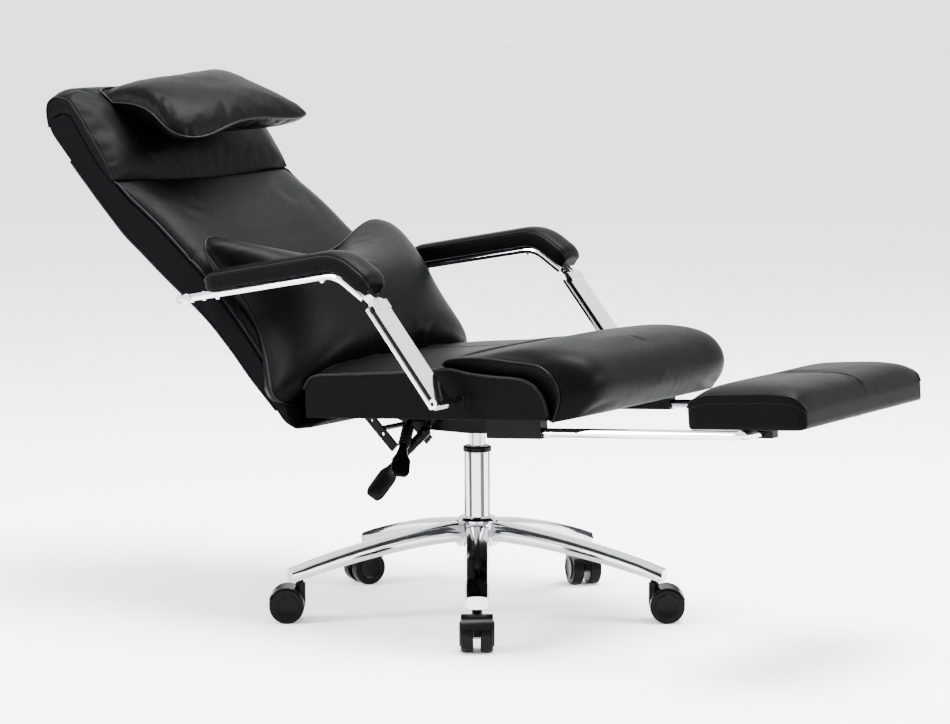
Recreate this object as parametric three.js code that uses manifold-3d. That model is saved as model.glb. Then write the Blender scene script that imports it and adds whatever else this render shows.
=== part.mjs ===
// Reclining office chair. The arms follow the back, and a footrest slides out and turns over.
// Millimetres, +Z up. The chair faces -Y, so the sitter's right-hand side is -X.
import * as THREE from 'three';
import { mergeVertices } from 'three/addons/utils/BufferGeometryUtils.js';
import Module from 'manifold-3d';

const wasm = await Module();
wasm.setup();

// Fits and fineness
const fitGap = 0.3; // between pieces that touch
const runningGap = 0.4; // round a turning or sliding piece
const openPivotGap = 3.5; // play where a closed linkage is held open
const overrun = 4; // how far a cutter runs past a face
const weld = 1; // how far joined solids run into each other
const fineSides = 24;
const plainSides = 16;
const smallSides = 10;

// Star base, column and casters
const legCount = 5;
const firstLegAngle = -56.7;
const legReach = 344;
const legUnderside = 66;
const legTip = { width: 41, height: 24, endShare: 0.92, stemInset: 19 };
const legRoot = { width: 44, height: 36, reach: 20, centre: 141 };
const legArchShare = 1.6;
const hub = { radius: 37, bottom: 116, top: 166, chamfer: 5 };
const column = { radius: 22.8, wall: 2, bottom: 72, top: 283, floor: 4 };
const bush = { lip: 10, lipRadius: 25.3, lipChamfer: 2, sleeve: 70 };
const cylinder = { radius: 14, wall: 2, bottom: 112, belowSeat: 16, gland: 8 };
const rod = { radius: 5, top: 224, piston: 16, tail: 5 };
const bearing = { radius: 12, height: 10 };
const clip = { radius: 10, height: 2.5 };
const button = { radius: 3.5, height: 9 };
const caster = {
  wheelRadius: 30.5, wheelWidth: 21, span: 54, trail: 23, axleHeight: 27, reach: legReach - legTip.stemInset,
  stemRadius: 5.5, stemIn: 20, neckRadius: 9, hoodGap: 1, hoodWall: 2, axleRadius: 4,
};
const casterTurns = [-57, 33, -41, -116, -147];

// Seat, in a frame that tilts with it: y runs back from the column, z up from its underside
const seat = { height: 370, tilt: 3.9, halfWidth: 257, front: -310, rear: 187, thickness: 85, crown: 14 };
const pan = { halfWidth: 240, front: -284, rear: 176, thickness: 12 };
const cylinderTop = seat.height - cylinder.belowSeat;
const roll = { halfWidth: 254, rear: -100, depth: 290, base: -6, height: 131 };
const housing = { halfWidth: 68, wall: 3, front: -75, depth: 47, bossRadius: 22, bossDrop: 46 };
const hinge = { y: 202.9, z: 7.8, radius: 5, earRadius: 11, head: 8, headLength: 4 };
const leverPin = { offset: 10, drop: 20, radius: 3, hubRadius: 7, rootRadius: 5, hubLength: 14, earWall: 3 };
const lever = { length: 100, neckRadius: 8, rib: 2, paddleHalfWidth: 17.5, paddleThickness: 9 };

// Back, in a frame that leans with it: y runs up the back, z points to the sitter
const back = { lean: 43, y: 195, z: seat.height - 12, halfWidth: 263, length: 777, sweep: 100 };
const backPad = { halfWidth: 254, edge: 6, crown: 27 };
const headPad = { halfWidth: 256, crown: 21 };
const lumbar = {
  halfWidth: 248, halfLength: 159, plane: 41, along: 198, pitch: -15.7, front: 128, rear: 10, edge: 3,
  footTaperShare: -0.02, headDrawInShare: 0.36, headSag: 34, headFill: [2, 0.66], footFill: [8, 0.9],
  slide: 58,
};
const headPillow = {
  halfWidth: 168, halfLength: 106, along: 668, plane: 100, pitch: 22.3, roll: 4, front: 44, rear: 36, edge: 3,
};
const yoke = { halfWidth: 57, wall: 5, low: -92, webLow: -18, high: 110, rearFace: -26, frontFace: -8 };
const strutPin = { y: -45, z: -17, radius: 5 };
const strut = {
  x: 36, radius: 11, rodRadius: 5, frontY: -42, frontZ: seat.height - 18, bodyShare: 0.6, eyeLength: 12,
  eyeWall: 2.5, eyeDrop: 1.7,
};
const flap = { halfWidth: 250, innerHalfWidth: 84, thickness: 2 };

// Arms, with the pivots of their linkage as [y, z] in the side plane
const arm = { centre: 313, width: 45, height: 14, round: 0.22, elbowFillet: 24, tail: 24 };
const seatPivot = [-135, seat.height + 44];
const armPivot = [383, seat.height + 192];
const linkPivot = [-4, seat.height + 203];
const elbow = [68, seat.height + 249];
const armPad = { width: 57, height: 35, rearInset: 42, frontInset: -2, round: 0.34 };
const knuckle = { radius: 10, tongue: 12, pin: 3, back: 16, earWall: 6 };
const bolt = { radius: 4, head: 8, headLength: 4, spacer: 8.5 };
const bracket = { thickness: 5, reach: 22, half: 13, bossRadius: 7 };

// Footrest, hung on its cross tube
const footrest = { y: -652, z: -25, halfWidth: 215, tube: 8, rods: 467, corner: 16 };
const footPad = { halfWidth: 218, front: -114, depth: 218, height: 59, base: 8.3, crown: 13 };
const footBoard = { halfWidth: 195, front: -90, rear: 78, thickness: 10 };
const footClip = { x: 150, halfWidth: 10, halfDepth: 20, wall: 3 };
const guide = { half: 12, front: -274, rear: -166, wall: 1 };

// Finishes
const finish = (color, metalness, roughness) =>
  new THREE.MeshStandardMaterial({ color, metalness, roughness });
const leather = () => finish(0x17171a, 0, 0.45);
const chrome = () => finish(0xd8dadd, 1, 0.12);
const blackPlastic = () => finish(0x0d0d0e, 0, 0.4);
const blackSteel = () => finish(0x141416, 0.5, 0.5);
const blackCloth = () => finish(0x0b0b0c, 0, 0.9);
const plywood = () => finish(0xa98356, 0, 0.7);
const bareSteel = () => finish(0xb9bbbe, 0.9, 0.35);

// Solids and booleans
function manifoldOf(geometry) {
  const bare = geometry.clone();
  bare.deleteAttribute('normal');
  bare.deleteAttribute('uv');
  const merged = mergeVertices(bare);
  const vertProperties = new Float32Array(merged.attributes.position.array);
  const triVerts = new Uint32Array(merged.index.array);
  return new wasm.Manifold(new wasm.Mesh({ numProp: 3, vertProperties, triVerts }));
}

function geometryOf(manifold) {
  const mesh = manifold.getMesh();
  const geometry = new THREE.BufferGeometry();
  geometry.setAttribute('position', new THREE.BufferAttribute(new Float32Array(mesh.vertProperties), 3));
  geometry.setIndex(new THREE.BufferAttribute(new Uint32Array(mesh.triVerts), 1));
  return geometry;
}

function join(first, ...others) {
  return geometryOf(others.reduce((sum, other) => sum.add(manifoldOf(other)), manifoldOf(first)));
}

function cut(body, ...tools) {
  return geometryOf(tools.reduce((rest, tool) => rest.subtract(manifoldOf(tool)), manifoldOf(body)));
}

// Shapes
function bar(from, to, radius, sides = plainSides) {
  const start = new THREE.Vector3(...from);
  const run = new THREE.Vector3(...to).sub(start);
  const geometry = new THREE.CylinderGeometry(radius, radius, run.length(), sides);
  const upright = new THREE.Vector3(0, 1, 0);
  geometry.applyQuaternion(new THREE.Quaternion().setFromUnitVectors(upright, run.clone().normalize()));
  const middle = start.addScaledVector(run, 1 / 2);
  return geometry.translate(middle.x, middle.y, middle.z);
}

function boxBetween(low, high) {
  const size = high.map((value, i) => value - low[i]);
  const middle = high.map((value, i) => (value + low[i]) / 2);
  return new THREE.BoxGeometry(...size).translate(...middle);
}

// Turned piece on the z axis, its outline as [radius, z] points
function turned(outline, sides = fineSides) {
  const points = outline.map(([radius, z]) => new THREE.Vector2(radius, z));
  return new THREE.LatheGeometry(points, sides).rotateX(Math.PI / 2);
}

// Flat plate cut to an outline of [y, z] points, from one x to another
function sidePlate(outline, fromX, toX) {
  const shape = new THREE.Shape(outline.map(([y, z]) => new THREE.Vector2(y, z)));
  const plate = new THREE.ExtrudeGeometry(shape, { depth: toX - fromX, bevelEnabled: false });
  const axes = [new THREE.Vector3(0, 1, 0), new THREE.Vector3(0, 0, 1), new THREE.Vector3(1, 0, 0)];
  plate.applyMatrix4(new THREE.Matrix4().makeBasis(...axes));
  return plate.translate(fromX, 0, 0);
}

// Block whose grid points are placed from their shares across, along and up, each from -1 to 1
function block(across, along, up, place) {
  const geometry = new THREE.BoxGeometry(2, 2, 2, across, along, up);
  const position = geometry.attributes.position;
  for (let i = 0; i < position.count; i += 1) {
    position.setXYZ(i, ...place(position.getX(i), position.getY(i), position.getZ(i)));
  }
  return geometry;
}

const stationOf = (along, count) => Math.round(((along + 1) / 2) * (count - 1));
const eased = (share) => Math.sin((share * Math.PI) / 2);
const hump = (share, power = 4) => 1 - Math.abs(share) ** power;

// Upholstered block: each station holds y, low z, high z and a width share. Its crown stays full
// until near the sides
const spread = (share) => Math.sign(share) * Math.abs(share) ** 0.6;

function upholstered(stations, halfWidth, crown, { power = 14, across = 10, drawInShare = 0.012 } = {}) {
  return block(across, stations.length - 1, 2, (a, b, c) => {
    const [y, low, high, widthShare = 1] = stations[stationOf(b, stations.length)];
    const side = spread(a);
    const drawIn = 1 - drawInShare * hump(b, 2) * (1 - c * c);
    const rise = crown * hump(side, power) * Math.sqrt(hump(b, 6));
    return [side * halfWidth * widthShare * drawIn, y, c < 0 ? low : c > 0 ? high + rise : (low + high) / 2];
  });
}

// Loose pillow, thin at its edges and drawn in between its corners
const pillowDrawInShare = 0.06;
const evenFill = [3, 0.66];
const filled = (share, [power, flatness]) => Math.max(hump(share, power), 0) ** flatness;

function pillow(spec) {
  const { halfWidth, halfLength, front, rear, edge, footTaperShare = 0, headSag = 0 } = spec;
  const { headDrawInShare = pillowDrawInShare, headFill = evenFill, footFill = evenFill } = spec;
  return block(10, 10, 1, (a, b, c) => {
    const side = eased(a);
    const end = eased(b);
    const fill = filled(side, [4, 0.5]) * filled(end, end > 0 ? headFill : footFill);
    const taper = 1 - (footTaperShare * (1 - end)) / 2;
    const drawIn = end > 0 ? headDrawInShare : pillowDrawInShare;
    const x = halfWidth * side * taper * (1 - pillowDrawInShare * hump(end, 2));
    const y = halfLength * end * (1 - drawIn * hump(side, 2));
    const sag = headSag * hump(side, 2) * Math.max(end, 0) ** 2;
    return [x, y, (c > 0 ? edge + front * fill : -edge - rear * fill) - sag];
  });
}

// Bar swept along points, either level with +Z up or in a side plane with +X across
function sweptBar(points, sideways, halfWidth, halfHeight, round, endShares = []) {
  const path = points.map((point) => new THREE.Vector3(...point));
  const last = path.length - 1;
  return block(4, last, 2, (a, b, c) => {
    const index = stationOf(b, path.length);
    const before = path[Math.max(index - 1, 0)];
    const after = path[Math.min(index + 1, last)];
    const run = after.clone().sub(before).normalize();
    const across = sideways ? new THREE.Vector3(1, 0, 0) : run.clone().cross(new THREE.Vector3(0, 0, 1));
    const up = across.clone().cross(run);
    const fromEnd = Math.min(index, last - index);
    const share = endShares[fromEnd] ?? 1;
    const width = a * halfWidth * share * Math.sqrt(1 - round * c * c);
    const height = c * halfHeight * share * Math.sqrt(1 - round * a * a);
    return path[index].clone().addScaledVector(across, width).addScaledVector(up, height).toArray();
  });
}

// Path with its corners rounded, as [x, y, z] points
function filleted(corners, fillet, steps) {
  const points = corners.map((corner) => new THREE.Vector3(...corner));
  const path = [corners[0]];
  for (let i = 1; i < points.length - 1; i += 1) {
    const toward = (other) => points[i].clone().add(other.clone().sub(points[i]).setLength(fillet));
    const bend = new THREE.QuadraticBezierCurve3(toward(points[i - 1]), points[i], toward(points[i + 1]));
    path.push(...bend.getPoints(steps).map((point) => point.toArray()));
  }
  return [...path, corners.at(-1)];
}

// Scene graph
const chair = new THREE.Group();
const seatGroup = new THREE.Group();
const backGroup = new THREE.Group();
chair.add(seatGroup, backGroup);
seatGroup.position.z = seat.height;
seatGroup.rotation.x = -THREE.MathUtils.degToRad(seat.tilt);
backGroup.position.set(0, back.y, back.z);
backGroup.rotation.x = THREE.MathUtils.degToRad(back.lean);
chair.updateMatrixWorld(true);

function add(group, name, geometry, material) {
  const mesh = new THREE.Mesh(geometry, material);
  mesh.name = name;
  group.add(mesh);
}

// Shape made upright, or a point, brought into a tilted group's own frame
function within(group, geometry) {
  return geometry.applyMatrix4(group.matrixWorld.clone().invert());
}

function pointWithin(group, [y, z]) {
  const point = group.worldToLocal(new THREE.Vector3(0, y, z));
  return [point.y, point.z];
}

function makeBase() {
  const rise = legRoot.centre - (legUnderside + legTip.height / 2);
  const run = legReach - legRoot.reach;
  const leg = block(4, 8, 2, (a, b, c) => {
    const share = (b + 1) / 2;
    const height = THREE.MathUtils.lerp(legRoot.height, legTip.height, share);
    const width = THREE.MathUtils.lerp(legRoot.width, legTip.width, share);
    const round = 0.28;
    const tipShare = b === 1 ? legTip.endShare : 1;
    const x = (a * width * tipShare * Math.sqrt(1 - round * c * c)) / 2;
    const y = -(legRoot.reach + run * share);
    const z = legRoot.centre - rise * share ** legArchShare;
    return [-x, y, z + (c * height * tipShare * Math.sqrt(1 - round * a * a)) / 2];
  });
  const legs = [];
  const sockets = [];
  for (let i = 0; i < legCount; i += 1) {
    const turn = THREE.MathUtils.degToRad(firstLegAngle + (360 / legCount) * i);
    legs.push(leg.clone().rotateZ(turn));
    const socket = bar(
      [0, -caster.reach, legUnderside - overrun],
      [0, -caster.reach, legUnderside + caster.stemIn + fitGap],
      caster.stemRadius + runningGap,
      smallSides,
    );
    sockets.push(socket.rotateZ(turn));
  }
  const hubSolid = turned([
    [0, hub.bottom], [hub.radius, hub.bottom], [hub.radius, hub.top - hub.chamfer],
    [hub.radius - hub.chamfer, hub.top], [0, hub.top],
  ]);
  const bore = bar(
    [0, 0, hub.bottom - overrun], [0, 0, hub.top + overrun], column.radius + fitGap, fineSides,
  );
  add(chair, 'star_base', cut(join(hubSolid, ...legs), bore, ...sockets), chrome());
}

function makeLift() {
  const inner = column.radius - column.wall;
  const floorTop = column.bottom + column.floor;
  add(chair, 'column_tube', turned([
    [rod.radius + runningGap, column.bottom], [column.radius, column.bottom], [column.radius, column.top],
    [inner, column.top], [inner, floorTop], [rod.radius + runningGap, floorTop],
    [rod.radius + runningGap, column.bottom],
  ]), chrome());
  const guideRadius = cylinder.radius + runningGap;
  const sleeveBottom = column.top - bush.sleeve;
  const collar = column.top + fitGap;
  add(chair, 'column_bush', turned([
    [guideRadius, sleeveBottom], [inner - fitGap, sleeveBottom], [inner - fitGap, collar],
    [bush.lipRadius, collar], [bush.lipRadius, column.top + bush.lip - bush.lipChamfer],
    [bush.lipRadius - bush.lipChamfer, column.top + bush.lip], [guideRadius, column.top + bush.lip],
    [guideRadius, sleeveBottom],
  ]), blackPlastic());
  const chamber = cylinder.radius - cylinder.wall;
  const glandTop = cylinder.bottom + cylinder.gland;
  const valve = button.radius + runningGap;
  add(chair, 'gas_cylinder', turned([
    [rod.radius + runningGap, cylinder.bottom], [cylinder.radius, cylinder.bottom],
    [cylinder.radius, cylinderTop], [valve, cylinderTop], [valve, cylinderTop - cylinder.gland],
    [chamber, cylinderTop - cylinder.gland], [chamber, glandTop], [rod.radius + runningGap, glandTop],
    [rod.radius + runningGap, cylinder.bottom],
  ]), bareSteel());
  const buttonBottom = cylinderTop - cylinder.gland + fitGap;
  add(chair, 'release_button', turned([
    [0, buttonBottom], [button.radius, buttonBottom], [button.radius, buttonBottom + button.height],
    [0, buttonBottom + button.height],
  ], smallSides), bareSteel());
  const tail = column.bottom - fitGap - clip.height - rod.tail;
  const clipTop = column.bottom - fitGap;
  const pistonLow = rod.top - rod.piston;
  add(chair, 'piston_rod', turned([
    [0, tail], [rod.radius, tail], [rod.radius, pistonLow], [chamber - runningGap, pistonLow],
    [chamber - runningGap, rod.top], [0, rod.top],
  ], plainSides), bareSteel());
  const ring = (radius, low, high) => turned([
    [rod.radius + fitGap, low], [radius, low], [radius, high], [rod.radius + fitGap, high],
    [rod.radius + fitGap, low],
  ], plainSides);
  const bearingLow = floorTop + fitGap;
  add(chair, 'thrust_bearing', ring(bearing.radius, bearingLow, bearingLow + bearing.height), bareSteel());
  add(chair, 'retaining_clip', ring(clip.radius, clipTop - clip.height, clipTop), blackSteel());
}

// Twin-wheel caster: its stem is on the z axis, and its wheels trail towards -Y
function makeCaster(number, turn) {
  const angle = THREE.MathUtils.degToRad(firstLegAngle + (360 / legCount) * (number - 1));
  const group = new THREE.Group();
  group.name = `caster_${number}`;
  group.position.set(Math.sin(angle) * caster.reach, -Math.cos(angle) * caster.reach, 0);
  group.rotation.z = THREE.MathUtils.degToRad(turn);
  const axle = [-caster.trail, caster.axleHeight];
  const webHalf = caster.span / 2 - caster.wheelWidth - runningGap;
  const hoodInner = caster.wheelRadius + caster.hoodGap;
  const hoodOuter = hoodInner + caster.hoodWall;
  const arc = (radius, from, to, steps) => Array.from({ length: steps + 1 }, (_, i) => {
    const at = THREE.MathUtils.degToRad(from + ((to - from) * i) / steps);
    return [axle[0] + radius * Math.cos(at), axle[1] + radius * Math.sin(at)];
  });
  const fenderFrom = 38;
  const fenderTo = 158;
  const fender = sidePlate(
    [...arc(hoodOuter, fenderFrom, fenderTo, 8), ...arc(hoodInner, fenderTo, fenderFrom, 8)],
    -caster.span / 2, caster.span / 2,
  );
  const web = sidePlate(
    [...arc(hoodInner + weld, fenderFrom - 20, fenderTo + 20, 8), ...arc(caster.neckRadius, -120, -60, 2)],
    -webHalf, webHalf,
  );
  const neck = bar([0, 0, caster.axleHeight], [0, 0, legUnderside - fitGap], caster.neckRadius, plainSides);
  const wheelRoom = bar(
    [-caster.span, ...axle], [caster.span, ...axle], hoodInner, fineSides,
  );
  const webSlab = boxBetween(
    [-webHalf, -caster.span * 2, 0], [webHalf, caster.span * 2, legUnderside],
  );
  const neckOutsideWheels = cut(neck, cut(wheelRoom, webSlab));
  const stem = bar(
    [0, 0, legUnderside - fitGap - weld], [0, 0, legUnderside + caster.stemIn], caster.stemRadius, smallSides,
  );
  const axleHole = bar(
    [-webHalf - overrun, ...axle], [webHalf + overrun, ...axle], caster.axleRadius + runningGap, smallSides,
  );
  const hood = cut(join(fender, web, neckOutsideWheels, stem), axleHole);
  add(group, `caster_hood_${number}`, hood, blackPlastic());
  for (const side of [-1, 1]) {
    const outer = caster.span / 2;
    const inner = outer - caster.wheelWidth;
    const flatRadius = caster.wheelRadius / Math.cos(Math.PI / fineSides);
    const tread = new THREE.CylinderGeometry(flatRadius, flatRadius, caster.wheelWidth, fineSides);
    tread.rotateY(Math.PI / fineSides).rotateZ(Math.PI / 2);
    tread.translate((side * (outer + inner)) / 2, ...axle);
    const half = bar([-webHalf, ...axle], [inner + weld, ...axle], caster.axleRadius, smallSides);
    const wheel = side > 0 ? join(tread, half) : tread;
    add(group, `caster_wheel_${side < 0 ? 'near' : 'far'}_${number}`, wheel, blackPlastic());
  }
  chair.add(group);
}

// Seat cushion's side outline from front to rear: shares of its length, and of its thickness
const seatShares = [
  [0, 0.1], [0.008, 0.33], [0.026, 0.54], [0.064, 0.72], [0.11, 0.81], [0.2, 0.85], [0.3, 0.91],
  [0.382, 1], [0.443, 0.99], [0.573, 0.936], [0.745, 0.91], [0.875, 0.89], [0.945, 0.87], [0.98, 0.78],
  [1, 0.61],
];

// Front roll's outline from its lower front over the nose to its rear seam: shares of its depth
// forward and of its height, at its ends, at its middle and on its hidden inner face
const rollShares = [
  [0.744, 0.016, 0.888, 0.063, 0.693, 0.016],
  [0.78, 0.19, 0.975, 0.286, 0.693, 0.143],
  [0.798, 0.349, 1, 0.492, 0.686, 0.254],
  [0.78, 0.524, 0.967, 0.683, 0.671, 0.349],
  [0.726, 0.659, 0.884, 0.841, 0.635, 0.429],
  [0.643, 0.746, 0.74, 0.952, 0.563, 0.492],
  [0.462, 0.794, 0.542, 1, 0.433, 0.54],
  [0.3, 0.833, 0.343, 0.992, 0.289, 0.571],
  [0.126, 0.833, 0.144, 0.944, 0.126, 0.603],
  [0.043, 0.802, 0.047, 0.873, 0.043, 0.643],
  [0.011, 0.746, 0, 0.794, 0.011, 0.69],
];

function rollSolid(gap, reach) {
  const count = rollShares.length;
  return block(10, count - 1, 1, (a, b, c) => {
    const index = stationOf(b, count);
    const [endY, endZ, middleY, middleZ, innerY, innerZ] = rollShares[index];
    const side = spread(a);
    const fill = hump(side, 14);
    const place = (yShare, zShare) => [roll.rear - roll.depth * yShare, roll.base + roll.height * zShare];
    const outer = place(THREE.MathUtils.lerp(endY, middleY, fill), THREE.MathUtils.lerp(endZ, middleZ, fill));
    const inner = place(innerY, innerZ);
    const way = new THREE.Vector2(outer[0] - inner[0], outer[1] - inner[1]).normalize();
    const [y, z] = c > 0
      ? [outer[0] + way.x * reach, outer[1] + way.y * reach]
      : [inner[0] - way.x * gap, inner[1] - way.y * gap];
    const rearShift = index === count - 1 ? gap : 0;
    const lowShift = index === 0 ? reach : 0;
    return [side * (roll.halfWidth + gap), y + rearShift, z - lowShift];
  });
}

// Plate let into the cushion's side, or with a gap its pocket
function bracketPlate(side, gap) {
  const [pivotY, pivotZ] = pointWithin(seatGroup, seatPivot);
  const inner = side * (seat.halfWidth - bracket.thickness - gap);
  const outer = side * (seat.halfWidth + (gap > 0 ? overrun : 0));
  return boxBetween(
    [Math.min(inner, outer), pivotY - bracket.reach - gap, pivotZ - bracket.half - gap],
    [Math.max(inner, outer), pivotY + bracket.half + gap, pivotZ + bracket.half + gap],
  );
}

function makeSeat() {
  const length = seat.rear - seat.front;
  const stations = seatShares.map(([yShare, zShare]) =>
    [seat.front + length * yShare, 0, seat.thickness * zShare]);
  const cushion = upholstered(stations, seat.halfWidth, seat.crown, { power: 4, drawInShare: 0.004 });
  const panPocket = boxBetween(
    [-pan.halfWidth - fitGap, pan.front - fitGap, -overrun],
    [pan.halfWidth + fitGap, pan.rear + fitGap, pan.thickness + fitGap],
  );
  add(seatGroup, 'seat_cushion', cut(
    cushion, rollSolid(fitGap, overrun), panPocket, bracketPlate(-1, fitGap), bracketPlate(1, fitGap),
  ), leather());
  add(seatGroup, 'front_cushion', rollSolid(0, 0), leather());
  add(seatGroup, 'seat_pan', boxBetween(
    [-pan.halfWidth, pan.front, 0], [pan.halfWidth, pan.rear, pan.thickness],
  ), plywood());
}

// Two levers on pins along Y. Their necks and paddles pass through points that are shares of one
// length, measured from the middle of the housing's side
const levers = [
  {
    name: 'height_lever', pinY: 90,
    shares: [[-0.23, 0.87, -0.31], [-0.51, 0.76, -0.52], [-0.72, 0.7, -0.74], [-1.02, 0.57, -1.11]],
  },
  {
    name: 'recline_lever', pinY: 44,
    shares: [[-0.17, 0.48, -0.35], [-0.2, 0.69, -0.55], [-0.32, 0.89, -0.77], [-0.77, 1.38, -1.54]],
  },
];
const leverShares = { paddleStart: 0.57, paddleFull: 0.7, tip: 0.7, root: 0.55 };
const paddleFace = new THREE.Vector3(-0.84, -0.54, 0).normalize();

function makeMechanism() {
  const { halfWidth, wall, front, depth } = housing;
  const low = -fitGap;
  const wallOutline = [
    [front, low], [front, -depth * 0.87], [front * 0.8, -depth], [front * 0.27, -depth],
    [hinge.y * 0.42, -depth * 0.85], [hinge.y * 0.74, -depth * 0.28], [hinge.y * 0.92, -depth * 0.11],
    [hinge.y, hinge.z - hinge.earRadius], [hinge.y, hinge.z], [hinge.y - hinge.earRadius * 0.9, hinge.z],
    [seat.rear + 2 * fitGap, low],
  ];
  const walls = [-1, 1].map((side) => {
    const inner = halfWidth - wall;
    const [from, to] = side < 0 ? [-halfWidth, -inner] : [inner, halfWidth];
    const ear = bar([from, hinge.y, hinge.z], [to, hinge.y, hinge.z], hinge.earRadius);
    return join(sidePlate(wallOutline, from, to), ear);
  });
  const plate = boxBetween([-halfWidth, front, low - wall], [halfWidth, hinge.y * 0.74, low]);
  const frontWall = boxBetween([-halfWidth, front, -depth * 0.87], [halfWidth, front + wall, low]);
  const boss = within(seatGroup, bar(
    [0, 0, seat.height - housing.bossDrop], [0, 0, seat.height - wall], housing.bossRadius, fineSides,
  ));
  const taper = within(seatGroup, bar(
    [0, 0, seat.height - housing.bossDrop - overrun], [0, 0, cylinderTop + button.height],
    cylinder.radius + fitGap, fineSides,
  ));
  const [strutY, strutZ] = pointWithin(seatGroup, [strut.frontY, strut.frontZ]);
  const strutMount = bar(
    [strut.x - strut.eyeLength, strutY, strutZ], [halfWidth - wall / 2, strutY, strutZ], bolt.radius,
    smallSides,
  );
  const leverMounts = levers.flatMap(({ pinY }) => {
    const x = -halfWidth - leverPin.offset;
    const outer = leverPin.hubLength / 2 + runningGap + leverPin.earWall;
    const pin = bar([x, pinY - outer, -leverPin.drop], [x, pinY + outer, -leverPin.drop], leverPin.radius,
      smallSides);
    const ears = [-1, 1].map((side) => {
      const inner = pinY + side * (outer - leverPin.earWall);
      const outerFace = pinY + side * outer;
      return boxBetween(
        [x - leverPin.radius * 2, Math.min(inner, outerFace), -leverPin.drop - leverPin.radius * 2],
        [-halfWidth + wall / 2, Math.max(inner, outerFace), -leverPin.drop + leverPin.radius * 2],
      );
    });
    return [pin, ...ears];
  });
  const shaftHole = bar(
    [-halfWidth - overrun, hinge.y, hinge.z], [halfWidth + overrun, hinge.y, hinge.z],
    hinge.radius + fitGap,
  );
  const solid = join(walls[0], walls[1], plate, frontWall, boss, strutMount, ...leverMounts);
  add(seatGroup, 'mechanism_housing', cut(solid, taper, shaftHole), blackSteel());

  const headFrom = halfWidth + fitGap;
  const shaftEnd = headFrom + hinge.headLength;
  const shaft = bar([-shaftEnd, hinge.y, hinge.z], [shaftEnd, hinge.y, hinge.z], hinge.radius);
  const heads = [-1, 1].map((side) =>
    bar([side * headFrom, hinge.y, hinge.z], [side * shaftEnd, hinge.y, hinge.z], hinge.head));
  add(seatGroup, 'hinge_shaft', join(shaft, ...heads), bareSteel());

  levers.forEach(makeLever);
}

function makeLever({ name, pinY, shares }) {
  const path = shares.map(([x, y, z]) =>
    new THREE.Vector3(x * lever.length - housing.halfWidth, y * lever.length, z * lever.length));
  const curve = new THREE.CatmullRomCurve3(path);
  const steps = 16;
  const body = block(4, steps, 2, (a, b, c) => {
    const index = stationOf(b, steps + 1);
    const share = index / steps;
    const run = curve.getTangentAt(share);
    const across = run.clone().cross(paddleFace).normalize();
    const up = across.clone().cross(run);
    const { paddleStart, paddleFull, tip, root } = leverShares;
    const spreadShare = THREE.MathUtils.smoothstep(share, paddleStart, paddleFull);
    const endShare = index === steps ? tip : index === 0 ? root : 1;
    const neck = lever.neckRadius + (index % 2 === 1 ? lever.rib : 0);
    const halfWidth = THREE.MathUtils.lerp(neck, lever.paddleHalfWidth, spreadShare) * endShare;
    const halfHeight = THREE.MathUtils.lerp(neck, lever.paddleThickness / 2, spreadShare) * endShare;
    return curve.getPointAt(share)
      .addScaledVector(across, a * halfWidth * Math.sqrt(1 - 0.4 * c * c))
      .addScaledVector(up, c * halfHeight * Math.sqrt(1 - 0.4 * a * a)).toArray();
  });
  const x = -housing.halfWidth - leverPin.offset;
  const half = leverPin.hubLength / 2;
  const z = -leverPin.drop;
  const hubSolid = bar([x, pinY - half, z], [x, pinY + half, z], leverPin.hubRadius);
  const root = bar([x, pinY, z], path[0].toArray(), leverPin.rootRadius, smallSides);
  const hole = bar([x, pinY - half - overrun, z], [x, pinY + half + overrun, z],
    leverPin.radius + runningGap, smallSides);
  add(seatGroup, name, cut(join(hubSolid, root, body), hole), blackPlastic());
}

// Back's side outline from its lower end up: shares of its length, and of its sweep at its rear
// face and at its front seam, with a share of its width where its top corners are rounded
const backShares = [
  [0.005, -0.28, -0.27], [0.026, -0.33, -0.2], [0.054, -0.32, -0.08], [0.08, -0.32, 0],
  [0.157, -0.31, 0.06], [0.224, -0.27, 0.12], [0.322, -0.25, 0.19], [0.405, -0.31, 0.22],
  [0.477, -0.38, 0.18], [0.575, -0.45, 0.13], [0.628, -0.49, 0.08], [0.685, -0.48, 0.02],
  [0.749, -0.46, -0.05], [0.79, -0.44, -0.05], [0.839, -0.42, 0.01], [0.903, -0.38, 0.08],
  [0.942, -0.36, 0.12], [0.965, -0.31, 0.14, 0.995], [0.987, -0.22, 0.12, 0.98],
  [1, -0.11, 0.02, 0.955],
];
const lumbarSlopeShare = 0.052;
const firstPadStation = 3;
const neckStation = 12;
// Head pad's front edge from the neck up, as shares of the sweep
const headFrontShares = [0.01, 0.02, 0.12, 0.26, 0.35, 0.39, 0.36, 0.25];
const flapShares = [[-0.044, 0.3], [-0.024, -0.04], [0.001, -0.28], [0.026, -0.35]];

function yokeSolid(gap) {
  const { halfWidth, wall, low, webLow, high, rearFace, frontFace } = yoke;
  const [pivotY, pivotZ] = hingeOnBack;
  const flanges = [-1, 1].map((side) => {
    const inner = side * (halfWidth - wall);
    const outer = side * halfWidth;
    const from = Math.min(inner, outer) - gap;
    const to = Math.max(inner, outer) + gap;
    const plate = boxBetween([from, low - gap, rearFace - gap], [to, high + gap, frontFace + gap]);
    return join(plate, bar([from, pivotY, pivotZ], [to, pivotY, pivotZ], hinge.earRadius + gap));
  });
  const web = boxBetween(
    [-halfWidth - gap, webLow - gap, rearFace - gap], [halfWidth + gap, high + gap, rearFace + wall + gap],
  );
  return join(flanges[0], flanges[1], web);
}

const hingeOnBack = (() => {
  const world = seatGroup.localToWorld(new THREE.Vector3(0, hinge.y, hinge.z));
  const local = backGroup.worldToLocal(world);
  return [local.y, local.z];
})();

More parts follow.
